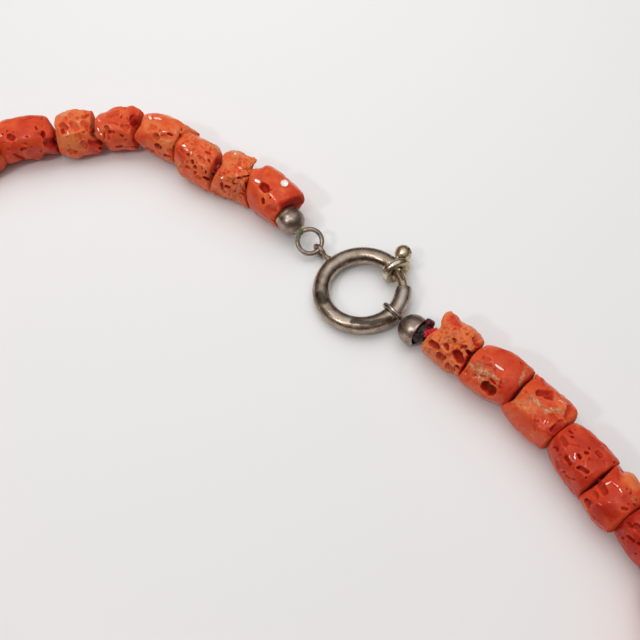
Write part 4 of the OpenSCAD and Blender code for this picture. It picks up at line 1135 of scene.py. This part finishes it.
def metal_piece(node, name, material, slot, body, voxel_mm, marks, dents=(), fat=None):
    """A metal piece: the CAD node with worn edges and dents, and its marks kept for the material to read:
    stains, wear, painted highlights and painted shade
    """
    piece = merged_copy(node, name)
    modify(piece, "REMESH", mode="VOXEL", voxel_size=voxel_mm * MM)
    modify(piece, "SMOOTH", factor=0.5, iterations=round(WORN_MM / voxel_mm))
    if node == "clasp_ring":
        places, _ = vertices_of(piece)
        round_tube(places)
        reshape(piece, places)
    places, normals = vertices_of(piece)
    seen = to_photo(places)
    facing = facing_camera(places, normals)
    wobble = clouds_on(places, 1.0, len(name))
    for *line, depth_mm in dents:
        sink(places, normals, smooth_step(1.0, 0.3, row_distance(seen, line)) * facing, depth_mm)
    if fat:
        fatten(places, normals, *fat)
    above_table(places)
    reshape(piece, places)
    for mark, rows in marks.items():
        stain = 0 * facing
        for *line, strength in rows:
            near = row_distance(seen, line) + 0.25 * wobble
            stain = np.maximum(stain, smooth_step(1.2, 0.6, near) * strength)
        store(piece, **{mark: stain * facing})
    finish_piece(piece, material, slot, body, node)


def uneven(piece, size_mm, height_mm, seed=7):
    """Lifts and lowers a piece's surface a little, as hand work does"""
    places, normals = vertices_of(piece)
    push_out(places, normals, clouds_on(places, size_mm, seed) * height_mm)
    reshape(piece, places)


def place_at(piece, place, facing):
    """Turns a piece's own z axis along facing, moves it to place, and applies both"""
    turn = Vector(facing).to_track_quat("Z", "Y").to_matrix().to_4x4()
    piece.data.transform(Matrix.Translation(Vector(place)) @ turn)
    piece.data.update()


def white_plug(bead, material):
    """The round white plug in the first bead: a low disc with a raised rim, let into the coral"""
    places, normals = vertices_of(bead)
    near = np.linalg.norm(to_photo(places) - np.array(PLUG_PHOTO), axis=1) < PLUG_RADIUS_PX
    near &= facing_camera(places, normals) > 0.9
    middle, out = places[near].mean(0), normals[near].mean(0)
    bpy.ops.object.select_all(action="DESELECT")
    bpy.ops.mesh.primitive_cylinder_add(vertices=28, radius=PLUG_RADIUS_MM * MM, depth=PLUG_DEPTH_MM * MM)
    plug = bpy.context.object
    plug.name = "white_plug"
    bpy.ops.object.mode_set(mode="EDIT")
    bpy.ops.mesh.select_all(action="DESELECT")
    bpy.ops.object.mode_set(mode="OBJECT")
    for face in plug.data.polygons:
        face.select = face.normal.z > 0.9
    bpy.ops.object.mode_set(mode="EDIT")
    bpy.ops.mesh.inset(thickness=0.18 * MM)
    bpy.ops.mesh.inset(thickness=0.14 * MM)
    bpy.ops.transform.translate(value=(0, 0, -0.1 * MM))
    bpy.ops.mesh.inset(thickness=0.2 * MM)
    bpy.ops.object.mode_set(mode="OBJECT")
    modify(plug, "BEVEL", width=0.06 * MM, segments=2, limit_method="ANGLE")
    modify(plug, "SUBSURF", levels=1, render_levels=1)
    uneven(plug, 0.5, 0.03)
    place_at(plug, middle, out / np.linalg.norm(out) + PLUG_LEAN * CAMERA_BACK)
    finish_piece(plug, material, "coral", BODY)


def sideways(ways):
    """Two directions of length 1 across each way: one level, one at right angles to both"""
    side = np.cross(ways, (0, 0, 1.0))
    side /= np.linalg.norm(side, axis=1)[:, None] + 1e-12
    lift = np.cross(side, ways)
    lift /= np.linalg.norm(lift, axis=1)[:, None] + 1e-12
    return side, lift


def strands(name, routes, thickness_mm, plies):
    """Thread along each route, as plies that twist round it, joined in one mesh"""
    curve = bpy.data.curves.new(name, "CURVE")
    curve.dimensions = "3D"

    # A single ply is as thick as the thread, and twisted plies are each 0.6 of it
    curve.bevel_depth = thickness_mm * MM * (0.5 if plies == 1 else 0.3)
    curve.bevel_resolution = 2
    curve.use_fill_caps = True
    offset = thickness_mm * MM * (0 if plies == 1 else 0.24)
    for route in routes:
        route = np.array(route)
        travelled = np.append(0, np.cumsum(np.linalg.norm(np.diff(route, axis=0), axis=1)))
        side, lift = sideways(np.gradient(route, axis=0))
        for ply in range(plies):
            turn = (travelled / (TWIST_MM * MM) + ply / plies) * 2 * math.pi
            across = side * np.cos(turn)[:, None] + lift * np.sin(turn)[:, None]
            points = route + across * offset
            spline = curve.splines.new("POLY")
            spline.points.add(len(points) - 1)
            for point, place in zip(spline.points, points):
                point.co = (*place, 1)
    piece = bpy.data.objects.new(name, curve)
    bpy.context.scene.collection.objects.link(piece)
    only(piece)
    bpy.ops.object.convert(target="MESH")
    return piece


def coil(start, end, radius_mm, turns, seed):
    """A route that winds loosely round the line from start to end"""
    shaker = random.Random(seed)
    side, lift = sideways(np.array([end - start]))
    route = []
    for t in np.linspace(0, 1, int(30 * turns)):
        angle = 2 * math.pi * turns * t
        reach = radius_mm * MM * (1 + 0.18 * math.sin(3.1 * angle + seed) + 0.06 * shaker.random())
        across = side[0] * math.cos(angle) + lift[0] * math.sin(angle)
        route.append(start + (end - start) * t + across * reach)
    return route


def jitter(shaker, *ranges):
    """A vector in metres, each part drawn from its own range in millimetres"""
    return np.array([shaker.uniform(*limits) for limits in ranges]) * MM


def red_knot(material):
    """The bright red thread between the right cup and its first bead: a loose knot with a few fibres"""
    start, end = from_photo(*KNOT_START), from_photo(*KNOT_END)
    routes = [coil(start, end, 0.5, 2.4, 1), coil(end, start, 0.2, 1.2, 5)]
    finish_piece(strands("red_knot", routes, 1.05, 2), material, "red_thread", BODY)
    shaker = random.Random(8)
    hairs = []
    for _ in range(FIBRES):
        root = from_photo(shaker.uniform(*FIBRES_X), shaker.uniform(*FIBRES_Y), FIBRES_HEIGHT_MM)
        tip = root + jitter(shaker, (-0.6, 1.2), (-0.2, 1.4), (0.1, 0.9))
        bend = (root + tip) / 2 + jitter(shaker, *[(-0.3, 0.3)] * 3)
        steps = np.linspace(0, 1, 8)
        hairs.append([root * (1 - s) ** 2 + bend * 2 * s * (1 - s) + tip * s ** 2 for s in steps])
    finish_piece(strands("red_fibres", hairs, 0.06, 1), material, "red_thread", BODY)


def wax_lip(material):
    """The dark lip of hardened thread that stands out of the right cup's mouth"""
    bpy.ops.object.select_all(action="DESELECT")
    bpy.ops.mesh.primitive_uv_sphere_add(segments=32, ring_count=20, radius=LIP_RADIUS_MM * MM)
    lip = bpy.context.object
    lip.name = "wax_lip"
    bpy.ops.object.mode_set(mode="EDIT")
    bpy.ops.mesh.select_all(action="SELECT")
    bpy.ops.transform.resize(value=LIP_STRETCH)
    bpy.ops.mesh.subdivide(number_cuts=1)
    bpy.ops.object.mode_set(mode="OBJECT")
    uneven(lip, 0.9, 0.16)
    uneven(lip, 0.35, 0.04)
    place_at(lip, from_photo(*LIP_MIDDLE), LIP_WAY)
    finish_piece(lip, material, "blackened_thread", BODY)


def wax_plug(material):
    """The lump of hardened thread in the right cup's mouth, uneven as it set"""
    plug = merged_copy("waxed_knot", "wax_plug")
    modify(plug, "REMESH", mode="VOXEL", voxel_size=0.17 * MM)
    modify(plug, "SMOOTH", factor=0.5, iterations=2)
    uneven(plug, 1.0, 0.25)
    uneven(plug, 0.45, 0.1)
    finish_piece(plug, material, "blackened_thread", BODY, "waxed_knot")


def dress(node_name, material):
    """Gives a CAD node that keeps its shape a better material"""
    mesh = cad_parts[node_name].data
    mesh.materials.clear()
    mesh.materials.append(material)


def pale_table():
    """The table under the necklace, in matt off-white paint that spreads the light evenly"""
    bpy.ops.object.select_all(action="DESELECT")
    bpy.ops.mesh.primitive_plane_add(size=12)
    table = bpy.context.object
    table.name = "table"
    material, tree, shader, _ = new_material("pale_table")
    feed(tree, shader, {"Base Color": linear("e6e5e4"), "Roughness": 0.7})
    table.data.materials.append(material)


def studio():
    """The lamps, the room's light and the camera"""
    scene = bpy.context.scene
    for name, (place, width, watts) in LAMPS.items():
        light = bpy.data.lights.new(name, "AREA")
        light.energy = watts
        light.size = width
        lamp = bpy.data.objects.new(name, light)
        lamp.location = place + LAMP_AIM
        lamp.rotation_euler = (-Vector(place)).to_track_quat("-Z", "Y").to_euler()
        lamp.visible_glossy = name != "skylight"
        scene.collection.objects.link(lamp)
    world = bpy.data.worlds.new("room")
    world.use_nodes = True
    tree = world.node_tree
    height = add(tree, "SeparateXYZ", {0: add(tree, "TexCoord")}, output="Z")
    room = add(tree, "ValToRGB", {0: height}, stops=[(0.15, 0.07), (0.65, 0.29), (0.92, 1.0)])
    feed(tree, tree.nodes["Background"], {"Color": room})
    scene.world = world
    camera_data = bpy.data.cameras.new("camera")
    camera_data.lens = LENS_MM
    camera_data.sensor_width = SENSOR_MM
    camera_data.clip_start = 0.01
    camera = bpy.data.objects.new("camera", camera_data)
    camera.location = CAMERA_PLACE
    camera.rotation_euler = (CAMERA_TILT, 0, 0)
    scene.collection.objects.link(camera)
    scene.camera = camera
    scene.view_settings.view_transform = "Standard"


coral = coral_material()
silver = metal_material("tarnished_low_silver", SILVER, 0.17)
satin_silver = metal_material("satin_low_silver", SATIN_SILVER, 0.24)
brass = metal_material("worn_brass", BRASS, 0.18)
beads = {number: coral_bead(number, coral) for number in range(1, 40)}
white_plug(beads[1], calcite_material())
metal_piece("clasp_ring", "ring_tube", silver, "tarnished_silver", BODY, 0.2,
            RING_MARKS, RING_DENTS, COLLAR)
metal_piece("left_cup", "left_bell", satin_silver, "tarnished_silver", BODY, 0.13,
            LEFT_CUP_MARKS)
metal_piece("right_cup", "right_bell", satin_silver, "tarnished_silver", BODY, 0.1,
            RIGHT_CUP_MARKS, RIGHT_CUP_DENTS)
metal_piece("bolt", "draw_bolt", brass, "worn_brass", "bolt", 0.12,
            BOLT_MARKS, BOLT_DENTS, KNOB)
red_cotton = cotton_material("red_cotton", "a60e20", "e42c46", 0.7)
blackened = cotton_material("blackened_thread", "0e0708", "261314", 0.42)
dress("thread", red_cotton)
wax_plug(blackened)
red_knot(red_cotton)
wax_lip(cotton_material("maroon_wax", "2e0b0e", "5e161c", 0.35))
pale_table()
studio()
